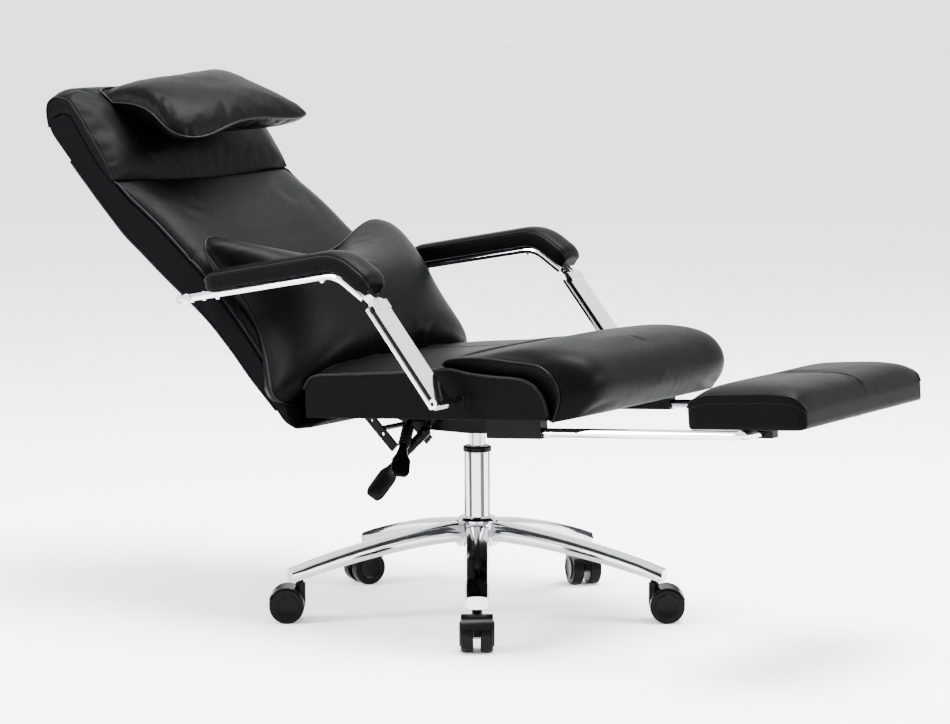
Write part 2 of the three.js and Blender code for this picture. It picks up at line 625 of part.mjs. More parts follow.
function makeBack() {
  const at = ([yShare, rearShare, frontShare, widthShare]) =>
    [back.length * yShare, back.sweep * rearShare, back.sweep * frontShare, widthShare];
  const stations = backShares.map(at);
  const shell = upholstered(stations, back.halfWidth, 0, { across: 4, drawInShare: 0 });
  add(backGroup, 'back_shell', cut(shell, yokeSolid(fitGap)), leather());

  const padStations = stations.slice(firstPadStation, neckStation + 1).map(([y, , front], i, all) => {
    const edge = i === 0 || i === all.length - 1 ? backPad.edge * 0.3 : backPad.edge;
    return [y, front + fitGap, front + fitGap + edge];
  });
  const backPadSolid = upholstered(padStations, backPad.halfWidth, backPad.crown);
  add(backGroup, 'back_pad', backPadSolid, leather());

  const headStations = stations.slice(neckStation).map(([y, , front, widthShare], i) => {
    const start = i === 0 ? weld : 0;
    return [y + start, front + fitGap, back.sweep * headFrontShares[i] + fitGap, widthShare];
  });
  const headPadSolid = upholstered(headStations, headPad.halfWidth, headPad.crown);
  add(backGroup, 'head_pad', headPadSolid, leather());

  const [pinY, pinZ] = [strutPin.y, strutPin.z];
  const inner = yoke.halfWidth - yoke.wall / 2;
  const crossPin = bar([-inner, pinY, pinZ], [inner, pinY, pinZ], strutPin.radius, smallSides);
  const [pivotY, pivotZ] = hingeOnBack;
  const shaftHole = bar([-back.halfWidth, pivotY, pivotZ], [back.halfWidth, pivotY, pivotZ],
    hinge.radius + runningGap);
  const boltHoles = [0.25, 0.62].map((share) => {
    const y = yoke.low * share;
    const z = (yoke.rearFace + yoke.frontFace) / 2;
    return bar([-back.halfWidth, y, z], [back.halfWidth, y, z], bolt.radius * 0.8, smallSides);
  });
  add(backGroup, 'back_yoke', cut(join(yokeSolid(0), crossPin), shaftHole, ...boltHoles), blackSteel());

  makeFlap();
  const padPushedUp = backPadSolid.clone().translate(0, -lumbar.slide, -lumbar.slide * lumbarSlopeShare);
  const flatBed = boxBetween([-back.halfWidth, 0, -back.sweep], [back.halfWidth, back.length, backPad.edge]);
  const padHollow = [flatBed, shell.clone().translate(0, 0, backPad.edge), backPadSolid, padPushedUp];
  add(backGroup, 'lumbar_pillow', pillowOn(lumbar, ...padHollow), leather());
  add(backGroup, 'head_pillow', pillowOn(headPillow, headPadSolid), leather());
}

function makeFlap() {
  const outline = flapShares.map(([yShare, zShare]) => [back.length * yShare, back.sweep * zShare]);
  const outerSide = outline.map(([y, z]) => [y - flap.thickness, z - flap.thickness]);
  const sheet = sidePlate([...outline, ...outerSide.reverse()], -flap.halfWidth, flap.halfWidth);
  const opening = boxBetween(
    [-flap.innerHalfWidth, back.length * flapShares[0][0] - overrun, yoke.rearFace - 2 * fitGap],
    [flap.innerHalfWidth, back.length, back.sweep],
  );
  add(backGroup, 'rear_flap', cut(sheet, opening), blackCloth());
}

// Pillow laid on a pad, and flattened where the pad presses into it
function pillowOn(spec, ...pads) {
  const { along, plane, pitch = 0, roll: sideways = 0 } = spec;
  const laid = pillow(spec)
    .rotateY(THREE.MathUtils.degToRad(-sideways))
    .rotateX(THREE.MathUtils.degToRad(-pitch))
    .translate(0, along, plane);
  return cut(laid, ...pads.map((pad) => pad.clone().translate(0, 0, fitGap)));
}

// Strut between the housing and the yoke: its rod slides in its body. The yoke's pin swings through
// an arc, so its eye is wide, and sits a little low at either end of the stroke
function makeStrut() {
  const front = new THREE.Vector3(strut.x, strut.frontY, strut.frontZ);
  const rear = backGroup.localToWorld(new THREE.Vector3(strut.x, strutPin.y, strutPin.z));
  rear.z -= strut.eyeDrop;
  const run = rear.clone().sub(front);
  const way = run.clone().normalize();
  const bodyEnd = front.clone().addScaledVector(run, strut.bodyShare);
  const half = strut.eyeLength / 2;
  const eye = (centre, radius) => bar(
    [centre.x - half, centre.y, centre.z], [centre.x + half, centre.y, centre.z], radius,
  );
  const hole = (centre, radius) => bar(
    [centre.x - half - overrun, centre.y, centre.z], [centre.x + half + overrun, centre.y, centre.z], radius,
  );
  const bodyStart = front.clone().addScaledVector(way, strut.radius);
  const floor = bodyStart.clone().addScaledVector(way, strut.radius * 2);
  const bodySolid = join(
    bar(bodyStart.toArray(), bodyEnd.toArray(), strut.radius), eye(front, strut.radius),
    bar(front.toArray(), bodyStart.clone().addScaledVector(way, weld).toArray(), strut.rodRadius),
  );
  const bore = bar(
    floor.toArray(), bodyEnd.clone().addScaledVector(way, overrun).toArray(), strut.rodRadius + runningGap,
  );
  add(chair, 'strut_body', cut(bodySolid, bore, hole(front, bolt.radius + fitGap)), blackSteel());

  const rodStart = floor.clone().addScaledVector(way, runningGap);
  const eyeHole = strutPin.radius + openPivotGap;
  const eyeRadius = eyeHole + strut.eyeWall;
  const rodEnd = rear.clone().addScaledVector(way, -(eyeHole + eyeRadius) / 2);
  add(chair, 'strut_rod', cut(
    join(bar(rodStart.toArray(), rodEnd.toArray(), strut.rodRadius), eye(rear, eyeRadius)),
    hole(rear, eyeHole),
  ), bareSteel());
}

function makeArm(side, sideName) {
  const x = side * arm.centre;
  const half = arm.width / 2;
  const flat = ([y, z]) => new THREE.Vector2(y, z);
  const toward = (from, to, distance) => {
    const point = flat(from).add(flat(to).sub(flat(from)).setLength(distance));
    return [point.x, point.y];
  };
  const inPlane = (points) => points.map(([y, z]) => [x, y, z]);
  const pinHole = (pivot, radius) =>
    bar([x - half - overrun, ...pivot], [x + half + overrun, ...pivot], radius);
  const cross = (pivot, from, to, radius, sides) =>
    bar([x + side * from, ...pivot], [x + side * to, ...pivot], radius, sides);

  // Arm bar, with a tongue at its front end
  const barFront = toward(linkPivot, elbow, knuckle.back);
  const barRear = toward(armPivot, elbow, -arm.tail);
  const barPath = filleted(inPlane([barFront, elbow, barRear]), arm.elbowFillet, 5);
  const tube = sweptBar(barPath, true, half, arm.height / 2, arm.round);
  const tongueHalf = knuckle.tongue / 2;
  const tongue = join(
    cross(linkPivot, -tongueHalf, tongueHalf, knuckle.radius, fineSides),
    sweptBar(inPlane([linkPivot, toward(linkPivot, elbow, knuckle.back + weld)]), true, tongueHalf,
      knuckle.radius * 0.8, 0),
  );
  add(chair, `arm_tube_${sideName}`, cut(
    join(tube, tongue), pinHole(linkPivot, knuckle.pin + openPivotGap),
    pinHole(armPivot, bolt.radius + fitGap),
  ), chrome());

  // Arm link, with two ears and their pin at its upper end
  const linkTop = toward(linkPivot, seatPivot, knuckle.back);
  const linkFoot = toward(seatPivot, linkPivot, -bolt.head);
  const linkBar = sweptBar(inPlane([linkFoot, linkTop]), true, half, arm.height / 2, arm.round);
  const earInner = tongueHalf + 2 * runningGap;
  const ears = [-1, 1].flatMap((way) => {
    const middle = way * (earInner + knuckle.earWall / 2);
    const earRun = [toward(linkPivot, seatPivot, knuckle.back + weld), linkPivot];
    const earPath = earRun.map(([y, z]) => [x + middle, y, z]);
    const ear = sweptBar(earPath, true, knuckle.earWall / 2, knuckle.radius * 0.7, 0);
    return [ear, cross(linkPivot, way * earInner * side, way * (earInner + knuckle.earWall) * side,
      knuckle.radius * 0.8, plainSides)];
  });
  const pinEnd = earInner + knuckle.earWall + weld;
  const linkPin = cross(linkPivot, -pinEnd, pinEnd, knuckle.pin, smallSides);
  add(chair, `arm_link_${sideName}`, cut(
    join(linkBar, ...ears, linkPin), pinHole(seatPivot, bolt.radius + fitGap),
  ), chrome());

  // Pad along the top of the bar
  const lift = arm.height / 2 + fitGap + armPad.height / 2;
  const padFront = toward(linkPivot, elbow, knuckle.back + armPad.frontInset);
  const padRear = toward(armPivot, elbow, armPad.rearInset);
  const raised = ([y, z], from, to) => {
    const run = flat(to).sub(flat(from)).normalize();
    return [y - run.y * lift, z + run.x * lift];
  };
  const frontPoint = raised(padFront, linkPivot, elbow);
  const rearPoint = raised(padRear, elbow, armPivot);
  const frontRun = flat(elbow).sub(flat(linkPivot)).normalize();
  const rearRun = flat(armPivot).sub(flat(elbow)).normalize();
  const bend = flat(frontRun.toArray()).add(rearRun).normalize();
  const bendLift = lift / bend.dot(rearRun);
  const padElbow = [elbow[0] - bend.y * bendLift, elbow[1] + bend.x * bendLift];
  const padPath = filleted(inPlane([frontPoint, padElbow, rearPoint]), arm.elbowFillet * 1.3, 5);
  const endGap = armPad.height * 0.22;
  const ends = [toward(frontPoint, padElbow, endGap), toward(rearPoint, padElbow, endGap)];
  padPath.splice(1, 0, [x, ...ends[0]]);
  padPath.splice(padPath.length - 1, 0, [x, ...ends[1]]);
  add(chair, `arm_pad_${sideName}`, sweptBar(
    padPath, true, armPad.width / 2, armPad.height / 2, armPad.round, [0.62, 0.94],
  ), leather());

  // Bolt and spacer into the back's side
  const outer = half + fitGap;
  const spacerFrom = back.halfWidth + fitGap - arm.centre;
  add(chair, `arm_rear_bolt_${sideName}`, join(
    cross(armPivot, spacerFrom, outer + bolt.headLength, bolt.radius, smallSides),
    cross(armPivot, spacerFrom, -half - fitGap, bolt.spacer, plainSides),
    cross(armPivot, outer, outer + bolt.headLength, bolt.head, plainSides),
  ), chrome());

  // Bracket let into the seat's side, its boss and the link's bolt
  const bossEnd = -half - fitGap;
  const boltIn = bossEnd - bolt.headLength * 2;
  const plateMiddle = seat.halfWidth - bracket.thickness / 2 - arm.centre;
  add(chair, `arm_bracket_${sideName}`, cut(
    join(bracketPlate(side, 0).applyMatrix4(seatGroup.matrixWorld),
      cross(seatPivot, plateMiddle, bossEnd, bracket.bossRadius, plainSides)),
    cross(seatPivot, boltIn - fitGap, bossEnd + overrun, bolt.radius + fitGap, plainSides),
  ), chrome());
  add(chair, `link_bolt_${sideName}`, join(
    cross(seatPivot, boltIn, outer + bolt.headLength, bolt.radius, smallSides),
    cross(seatPivot, outer, outer + bolt.headLength, bolt.head, plainSides),
  ), chrome());
}

// Foot pad's side outline from front to rear: shares of its depth, and of its height at its low
// and high edge
const footShares = [
  [0, 0.19, 0.43, 0.85], [0.028, 0.08, 0.65, 0.92], [0.083, 0.01, 0.86, 0.965], [0.165, 0, 0.95, 0.99],
  [0.3, 0, 0.99], [0.49, 0, 0.98], [0.66, 0, 0.97], [0.835, 0, 0.945], [0.927, 0, 0.84],
  [0.982, 0, 0.72, 0.995], [1, 0.05, 0.59, 0.98],
];

function makeFootrest() {
  const group = new THREE.Group();
  group.name = 'footrest';
  group.position.set(0, footrest.y, footrest.z);
  seatGroup.add(group);
  const reach = footrest.halfWidth;
  const corners = [[-reach, footrest.rods, 0], [-reach, 0, 0], [reach, 0, 0], [reach, footrest.rods, 0]];
  const tubePath = filleted(corners, footrest.corner, 4);
  add(group, 'footrest_frame', sweptBar(tubePath, false, footrest.tube, footrest.tube, 0.5), chrome());

  const stations = footShares.map(([yShare, lowShare, highShare, widthShare]) => [
    footPad.front + footPad.depth * yShare, footPad.base + footPad.height * lowShare,
    footPad.base + footPad.height * highShare, widthShare,
  ]);
  const cushion = upholstered(stations, footPad.halfWidth, footPad.crown);
  const boardLow = footPad.base + fitGap;
  const pocket = boxBetween(
    [-footBoard.halfWidth - fitGap, footBoard.front - fitGap, -overrun],
    [footBoard.halfWidth + fitGap, footBoard.rear + fitGap, boardLow + footBoard.thickness + fitGap],
  );
  add(group, 'footrest_pad', cut(cushion, pocket), leather());
  add(group, 'footrest_board', boxBetween(
    [-footBoard.halfWidth, footBoard.front, boardLow],
    [footBoard.halfWidth, footBoard.rear, boardLow + footBoard.thickness],
  ), plywood());
  for (const side of [-1, 1]) {
    const x = side * footClip.x;
    const low = -footrest.tube - runningGap - footClip.wall;
    const saddle = boxBetween(
      [x - footClip.halfWidth, -footClip.halfDepth, low],
      [x + footClip.halfWidth, footClip.halfDepth, boardLow - fitGap],
    );
    const bore = bar(
      [x - footClip.halfWidth - overrun, 0, 0], [x + footClip.halfWidth + overrun, 0, 0],
      footrest.tube + 2 * runningGap,
    );
    add(group, `footrest_clip_${side < 0 ? 'right' : 'left'}`, cut(saddle, bore), blackPlastic());

    const guideX = side * footrest.halfWidth;
    const guideSolid = boxBetween(
      [guideX - guide.half, guide.front, footrest.z - footrest.tube - runningGap - guide.wall],
      [guideX + guide.half, guide.rear, -fitGap],
    );
    const guideBore = bar(
      [guideX, guide.front - overrun, footrest.z], [guideX, guide.rear + overrun, footrest.z],
      footrest.tube + 2 * runningGap,
    );
    add(seatGroup, `footrest_guide_${side < 0 ? 'right' : 'left'}`, cut(guideSolid, guideBore), blackSteel());
  }
}

makeBase();
makeLift();
casterTurns.forEach((turn, i) => makeCaster(i + 1, turn));
makeSeat();
makeMechanism();
makeBack();
makeStrut();
makeArm(-1, 'right');
makeArm(1, 'left');
makeFootrest();

// The chair stands with the middle of its footprint at the origin
const bounds = new THREE.Box3().setFromObject(chair, true);
const middle = bounds.getCenter(new THREE.Vector3());
chair.position.set(-middle.x, -middle.y, -bounds.min.z);

chair.userData = {
  column, caster, seat, hinge, leverPin, levers, housing, back, strut, strutPin, lumbar, lumbarSlopeShare,
  arm, seatPivot, armPivot, linkPivot,
};
export default chair;
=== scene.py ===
import math
import bmesh
import bpy
from mathutils import Matrix, Vector, noise
from mathutils.bvhtree import BVHTree


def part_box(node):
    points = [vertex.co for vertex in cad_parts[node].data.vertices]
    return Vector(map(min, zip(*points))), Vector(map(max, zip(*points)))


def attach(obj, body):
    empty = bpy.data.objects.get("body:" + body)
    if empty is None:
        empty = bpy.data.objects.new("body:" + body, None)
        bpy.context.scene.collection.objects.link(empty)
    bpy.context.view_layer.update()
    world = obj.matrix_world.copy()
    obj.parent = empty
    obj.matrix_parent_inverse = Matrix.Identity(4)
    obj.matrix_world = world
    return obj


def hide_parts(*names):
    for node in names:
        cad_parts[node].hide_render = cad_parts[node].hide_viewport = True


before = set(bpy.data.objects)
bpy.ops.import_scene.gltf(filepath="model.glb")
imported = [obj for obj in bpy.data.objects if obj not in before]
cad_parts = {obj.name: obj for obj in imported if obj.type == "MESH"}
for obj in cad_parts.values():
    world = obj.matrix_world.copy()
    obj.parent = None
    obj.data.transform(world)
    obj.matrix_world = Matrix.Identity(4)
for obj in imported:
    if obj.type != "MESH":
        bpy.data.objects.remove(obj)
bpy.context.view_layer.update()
print("frame loaded")

# The frames that the chair is measured in, metres. The column's axis is x = y = 0 in all of them
chair = {"columnBottom": 0.072, "seatHeight": 0.370, "seatTilt": 3.9, "backY": 0.195, "backZ": 0.358,
         "backLean": 43, "footY": -0.652, "footZ": -0.025}
columnLow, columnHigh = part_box("column_tube")
columnMiddle = (columnLow + columnHigh) / 2
standing = Matrix.Translation((columnMiddle.x, columnMiddle.y, columnLow.z - chair["columnBottom"]))
seatFrame = (standing @ Matrix.Translation((0, 0, chair["seatHeight"]))
             @ Matrix.Rotation(-math.radians(chair["seatTilt"]), 4, "X"))
backFrame = (standing @ Matrix.Translation((0, chair["backY"], chair["backZ"]))
             @ Matrix.Rotation(math.radians(chair["backLean"]), 4, "X"))
footFrame = seatFrame @ Matrix.Translation((0, chair["footY"], chair["footZ"]))
fitGap = 0.0003
scene = bpy.context.scene

# Camera, floor and light
view = {"place": (-4.4297, -2.914, 1.0899), "turn": -56.62, "pitch": 6.97, "lens": 114.51, "sensor": 36,
        "clipEnd": 200}
studio = {"floorRadius": 60, "worldStrength": 2.6, "cardGloss": 0.8}
darkCards = [  # place, aim, width, height and grey: only the gloss of the pieces sees them
    ((-6.6, -4.3, 1.3), (0, 0, 1.3), 11, 2.4, 0.02),
    ((-0.67, 0.337, 0.11), (0, 0, 0.11), 0.36, 0.2, 0.05),
    ((-0.088, -0.745, 0.11), (0, 0, 0.11), 0.48, 0.2, 0.12),
    ((0.215, 0.719, 0.11), (0, 0, 0.11), 0.5, 0.2, 0.03),
    ((0.745, -0.088, 0.11), (0, 0, 0.11), 0.5, 0.2, 0.03),
]
softboxes = [
    {"name": "topLight", "at": (0.6, -0.4, 4.2), "to": (0, 0, 0.6), "size": (2.4, 2.4), "power": 900},
    {"name": "leftLight", "at": (-3.2, 2.6, 2.9), "to": (0, 0.4, 0.8), "size": (1.4, 2.2), "power": 420},
    {"name": "rightLight", "at": (1.6, -4.4, 2.2), "to": (0, -0.4, 0.5), "size": (2.2, 1.4), "power": 420},
]


def aimed(spot, place, target):
    spot.location = standing @ Vector(place)
    spot.rotation_euler = (standing @ Vector(target) - spot.location).to_track_quat("-Z", "Y").to_euler()


def makeStudio():
    lens = bpy.data.cameras.new("camera")
    lens.lens = view["lens"]
    lens.sensor_width = view["sensor"]
    lens.clip_end = view["clipEnd"]
    camera = bpy.data.objects.new("camera", lens)
    camera.location = standing @ Vector(view["place"])
    camera.rotation_euler = (math.radians(90 - view["pitch"]), 0, math.radians(view["turn"]))
    scene.collection.objects.link(camera)
    scene.camera = camera
    for index, (place, aim, width, height, grey) in enumerate(darkCards):
        mesh = bmesh.new()
        bmesh.ops.create_grid(mesh, x_segments=1, y_segments=1, size=0.5)
        mesh.transform(Matrix.Diagonal((width, height, 1, 1)))
        card = meshObject(f"darkCard{index}", mesh, plasticFinish(f"darkCard{index}", grey, studio["cardGloss"]))
        aimed(card, place, aim)
        card.visible_camera = card.visible_diffuse = card.visible_shadow = False
    for box in softboxes:
        light = bpy.data.lights.new(box["name"], "AREA")
        light.shape = "RECTANGLE"
        light.size, light.size_y = box["size"]
        light.energy = box["power"]
        spot = bpy.data.objects.new(box["name"], light)
        scene.collection.objects.link(spot)
        aimed(spot, box["at"], box["to"])
    world = bpy.data.worlds.new("studio")
    world.use_nodes = True
    sky = world.node_tree.nodes["Background"].inputs
    sky["Color"].default_value = (1, 1, 1, 1)
    sky["Strength"].default_value = studio["worldStrength"]
    scene.world = world


# Shader nodes: an expression on wires adds its Math nodes
class Wire:
    def __init__(self, finish, socket):
        self.finish = finish
        self.socket = socket

    def maths(self, operation, first, second):
        return self.finish.node("ShaderNodeMath", {"operation": operation}, {0: first, 1: second}).out()

    def __add__(self, other):
        return self.maths("ADD", self, other)

    def __radd__(self, other):
        return self.maths("ADD", other, self)

    def __sub__(self, other):
        return self.maths("SUBTRACT", self, other)

    def __rsub__(self, other):
        return self.maths("SUBTRACT", other, self)

    def __mul__(self, other):
        return self.maths("MULTIPLY", self, other)

    def __rmul__(self, other):
        return self.maths("MULTIPLY", other, self)


class Node:
    def __init__(self, finish, node):
        self.finish = finish
        self.node = node

    def out(self, name=0):
        return Wire(self.finish, self.node.outputs[name])


class Finish:
    def __init__(self, name):
        self.material = bpy.data.materials.new(name)
        self.material.use_nodes = True
        self.tree = self.material.node_tree
        self.tree.nodes.clear()
        self.shader = self.node("ShaderNodeBsdfPrincipled")
        self.node("ShaderNodeOutputMaterial", {}, {"Surface": self.shader.out("BSDF")})
        self.place = self.node("ShaderNodeTexCoord").out("Object")

    def node(self, kind, settings=None, inputs=None):
        node = self.tree.nodes.new(kind)
        for key, value in (settings or {}).items():
            if key == "stops":
                ramp = node.color_ramp.elements
                while len(ramp) < len(value):
                    ramp.new(0.5)
                for stop, (position, level) in zip(ramp, value):
                    stop.position = position
                    stop.color = (level, level, level, 1)
            else:
                setattr(node, key, value)
        made = Node(self, node)
        self.feed(made, inputs or {})
        return made

    def feed(self, made, inputs):
        for key, value in inputs.items():
            if isinstance(value, Wire):
                self.tree.links.new(value.socket, made.node.inputs[key])
            else:
                made.node.inputs[key].default_value = value

    def set(self, **sockets):
        self.feed(self.shader, {key.replace("_", " "): value for key, value in sockets.items()})

    def noise(self, scale, detail, roughness):
        return self.node("ShaderNodeTexNoise", {}, {
            "Vector": self.place, "Scale": scale, "Detail": detail, "Roughness": roughness}).out("Fac")

    def ramp(self, value, stops):
        return self.node("ShaderNodeValToRGB", {"stops": stops}, {"Fac": value}).out("Color")

    def between(self, share, low, high):
        return self.node("ShaderNodeMix", {"data_type": "RGBA"}, {
            0: share, 6: (*low, 1), 7: (*high, 1)}).out(2)

    def bumped(self, *layers):
        normal = None
        for height, distance, strength in layers:
            inputs = {"Height": height, "Distance": distance, "Strength": strength}
            if normal is not None:
                inputs["Normal"] = normal
            normal = self.node("ShaderNodeBump", {}, inputs).out("Normal")
        self.set(Normal=normal)


def leatherFinish(name, tone=0.0009, grain=0.3, gloss=0.42, shine=0.025):
    finish = Finish(name)
    cells = finish.node("ShaderNodeTexVoronoi", {"feature": "DISTANCE_TO_EDGE"}, {
        "Vector": finish.place, "Scale": 620, "Randomness": 1.0}).out("Distance")
    creases = finish.ramp(cells, [(0.0, 0.0), (0.16, 1.0)])
    pores = finish.noise(1500, 2, 0.6)
    cloud = finish.noise(9, 3, 0.55)
    smudge = finish.noise(38, 4, 0.6)
    colour = finish.between(cloud * 0.6 + smudge * 0.4,
                            (tone * 0.82, tone * 0.82, tone * 0.9), (tone * 1.2, tone * 1.2, tone * 1.38))
    finish.set(Base_Color=colour, Roughness=(smudge - 0.5) * 0.12 + (pores - 0.5) * 0.05 + gloss,
               Specular_IOR_Level=shine)
    finish.bumped((creases, 0.00022, grain), (pores, 0.0001, grain * 0.6), (smudge, 0.0009, 0.06))
    return finish.material


def chromeFinish(name, low, high):
    finish = Finish(name)
    haze = finish.noise(24, 3, 0.6)
    specks = finish.noise(260, 2, 0.5)
    finish.set(Base_Color=finish.between(haze, (low, low, low * 1.03), (high, high, high * 1.02)),
               Metallic=1.0, Roughness=haze * 0.05 + specks * 0.03 + 0.045)
    finish.bumped((haze, 0.0012, 0.06))
    return finish.material


def plasticFinish(name, tone, gloss, texture=0.3, shine=0.06):
    finish = Finish(name)
    pebbles = finish.noise(900, 3, 0.6)
    cloud = finish.noise(18, 3, 0.5)
    finish.set(Base_Color=finish.between(cloud, (tone * 0.8,) * 3, (tone * 1.25, tone * 1.25, tone * 1.3)),
               Roughness=(pebbles - 0.5) * 0.15 + (cloud - 0.5) * 0.08 + gloss, Specular_IOR_Level=shine)
    finish.bumped((pebbles, 0.00012, texture))
    return finish.material


def steelFinish(name, tone, gloss, metallic, scratch=0.1):
    finish = Finish(name)
    cloud = finish.noise(30, 4, 0.6)
    grit = finish.noise(700, 3, 0.65)
    finish.set(Base_Color=finish.between(cloud, (tone * 0.8,) * 3, (tone * 1.2, tone * 1.2, tone * 1.22)),
               Metallic=metallic, Roughness=(cloud - 0.5) * 0.2 + (grit - 0.5) * 0.1 + gloss,
               Specular_IOR_Level=0.06)
    finish.bumped((grit, 0.0001, scratch))
    return finish.material


def clothFinish():
    finish = Finish("wovenCloth")
    weave = []
    for direction in ("X", "Y"):
        weave.append(finish.node("ShaderNodeTexWave", {"wave_type": "BANDS", "bands_direction": direction}, {
            "Vector": finish.place, "Scale": 420, "Distortion": 0.6, "Detail": 1}).out("Fac"))
    threads = weave[0] * weave[1]
    cloud = finish.noise(20, 3, 0.5)
    finish.set(Base_Color=finish.between(cloud, (0.0012,) * 3, (0.0026, 0.0026, 0.003)),
               Roughness=0.9, Specular_IOR_Level=0.03, Sheen_Weight=0.01)
    finish.bumped((threads, 0.0002, 0.4))
    return finish.material


def floorFinish():
    finish = Finish("paleFloor")
    cloud = finish.noise(0.7, 3, 0.5)
    finish.set(Base_Color=finish.between(cloud, (0.93,) * 3, (0.95,) * 3), Roughness=0.8)
    return finish.material


finishes = {
    "leather": leatherFinish("blackLeather"),
    # Leather of the back's shell, painted lighter than the rest and with almost no shine: its lighter tone is painted
    # light on the shell's sides
    "paintedLitShellLeather": leatherFinish("paintedLitShellLeather", tone=0.0028, shine=0.003),
    "pillowLeather": leatherFinish("pillowLeather", tone=0.001, gloss=0.38),
    # Leather of the piping, glossier than the rest and painted a little lighter: its lighter tone is a painted
    # highlight along the seams
    "paintedLitPipingLeather": leatherFinish("paintedLitPipingLeather", tone=0.0016, grain=0.2, gloss=0.3, shine=0.07),
    "thread": plasticFinish("thread", 0.006, 0.45, shine=0.1),
    "chrome": chromeFinish("chromePlating", 0.64, 0.74),
    # The star base and column have the same chrome as the arms, painted darker here as painted shade
    "shadedBaseChrome": chromeFinish("shadedBaseChrome", 0.45, 0.54),
    "black_plastic": plasticFinish("mouldedPlastic", 0.0012, 0.24),
    "hood_plastic": plasticFinish("hoodPlastic", 0.0014, 0.26, 0.2),
    "wheel_plastic": plasticFinish("wheelPlastic", 0.0016, 0.33),
    "black_steel": steelFinish("blackSteel", 0.0014, 0.3, 0),
    "bare_steel": steelFinish("bareSteel", 0.55, 0.28, 1.0, 0.06),
    "black_cloth": clothFinish(),
}
print("finishes made")


def addFloor():
    mesh = bmesh.new()
    bmesh.ops.create_circle(mesh, cap_ends=True, segments=96, radius=studio["floorRadius"])
    floor = meshObject("floor", mesh, floorFinish())


def meshObject(name, mesh, finish):
    data = bpy.data.meshes.new(name)
    for face in mesh.faces:
        face.smooth = True
    mesh.to_mesh(data)
    mesh.free()
    data.materials.append(finish)
    made = bpy.data.objects.new(name, data)
    scene.collection.objects.link(made)
    return made


def smoothed(piece, levels):
    finer = piece.modifiers.new("Finer", "SUBSURF")
    finer.levels = levels
    finer.render_levels = levels


# Finer edges and shading for the rigid pieces that stay as they are
edges = {"star_base": 0.0025, "caster_wheel": 0.0028, "caster_hood": 0.002, "": 0.0006}
bracketPlateReach = 0.2575
shading = {"weld": 0.00002, "wideBevel": 0.001, "bevelAngle": 40, "splitAngle": 38}


def dressNodes():
    for name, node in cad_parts.items():
        node.data.materials.clear()
        # The star base and column take the chrome painted darker, as painted shade
        onBase = name in ("star_base", "column_tube")
        isBracket = name.startswith("arm_bracket")
        node.data.materials.append(finishes["shadedBaseChrome" if onBase else nodeSlot(name)])
        if isBracket:
            node.data.materials.append(finishes["leather"])
        for face in node.data.polygons:
            face.use_smooth = True
            away = abs((node.matrix_world @ face.center).x - standing.translation.x)
            face.material_index = 1 if isBracket and away < bracketPlateReach else 0
        weld = node.modifiers.new("Weld", "WELD")
        weld.merge_threshold = shading["weld"]
        if name.endswith("lever"):
            smoothed(node, 2)
            continue
        bevel = node.modifiers.new("Bevel", "BEVEL")
        bevel.width = next(width for start, width in edges.items() if name.startswith(start))
        bevel.segments = 4 if bevel.width > shading["wideBevel"] else 2
        bevel.limit_method = "ANGLE"
        bevel.angle_limit = math.radians(shading["bevelAngle"])
        split = node.modifiers.new("Split", "EDGE_SPLIT")
        split.split_angle = math.radians(shading["splitAngle"])
        even = node.modifiers.new("Even", "WEIGHTED_NORMAL")
        even.keep_sharp = True


plainSlots = {"black_cloth": ("rear_flap", "seat_pan", "footrest_board"),
              "bare_steel": ("gas_cylinder", "release_button", "piston_rod", "thrust_bearing",
                             "retaining_clip", "hinge_shaft", "strut_rod"),
              "black_steel": ("mechanism_housing", "back_yoke", "strut_body", "footrest_guide"),
              "black_plastic": ("column_bush", "height_lever", "recline_lever", "footrest_clip"),
              "hood_plastic": ("caster_hood",), "wheel_plastic": ("caster_wheel",),
              "chrome": ("star_base", "column_tube", "arm_tube", "arm_link", "arm_rear_bolt", "arm_bracket",
                         "link_bolt", "footrest_frame")}


def nodeSlot(name):
    for slotName, starts in plainSlots.items():
        if name.startswith(starts):
            return slotName
    return "leather"


# A share from here on lies at its piece's edge
atEdge = 0.999


# Block of quads whose grid points are placed from their shares across, along and up, -1 to 1
def gridBlock(lines, place):
    mesh = bmesh.new()
    bmesh.ops.create_cube(mesh, size=2)
    for axis, shares in enumerate(lines):
        if len(shares) > 2:
            parallel = [edge for edge in mesh.edges
                        if abs(edge.verts[0].co[axis] - edge.verts[1].co[axis]) > 1]
            bmesh.ops.subdivide_edges(mesh, edges=parallel, cuts=len(shares) - 2, use_grid_fill=True)
    grid = []
    for vert in mesh.verts:
        share = [shares[round((vert.co[axis] + 1) / 2 * (len(shares) - 1))]
                 for axis, shares in enumerate(lines)]
        grid.append(share)
        vert.co = place(*share)
    return mesh, grid


def evenly(count, *extra):
    shares = [-1 + 2 * i / count for i in range(count + 1)]
    close = 0.5 / count
    kept = [share for share in shares if all(abs(share - other) > close for other in extra)]
    return sorted(kept + list(extra))


# Smooth curve through rows of (share, values...)
def curveThrough(rows):
    keys = [row[0] for row in rows]

    def slope(i, column):
        low, high = max(i - 1, 0), min(i + 1, len(rows) - 1)
        return (rows[high][column] - rows[low][column]) / (keys[high] - keys[low])

    def at(key):
        i = max(0, min(len(keys) - 2, sum(1 for other in keys[1:-1] if key >= other)))
        span = keys[i + 1] - keys[i]
        t = min(1, max(0, (key - keys[i]) / span))
        values = []
        for column in range(1, len(rows[0])):
            start, end = rows[i][column], rows[i + 1][column]
            lead, trail = slope(i, column) * span, slope(i + 1, column) * span
            values.append(start * (2 * t ** 3 - 3 * t * t + 1) + lead * (t ** 3 - 2 * t * t + t)
                          + end * (3 * t * t - 2 * t ** 3) + trail * (t ** 3 - t * t))
        return values

    return at


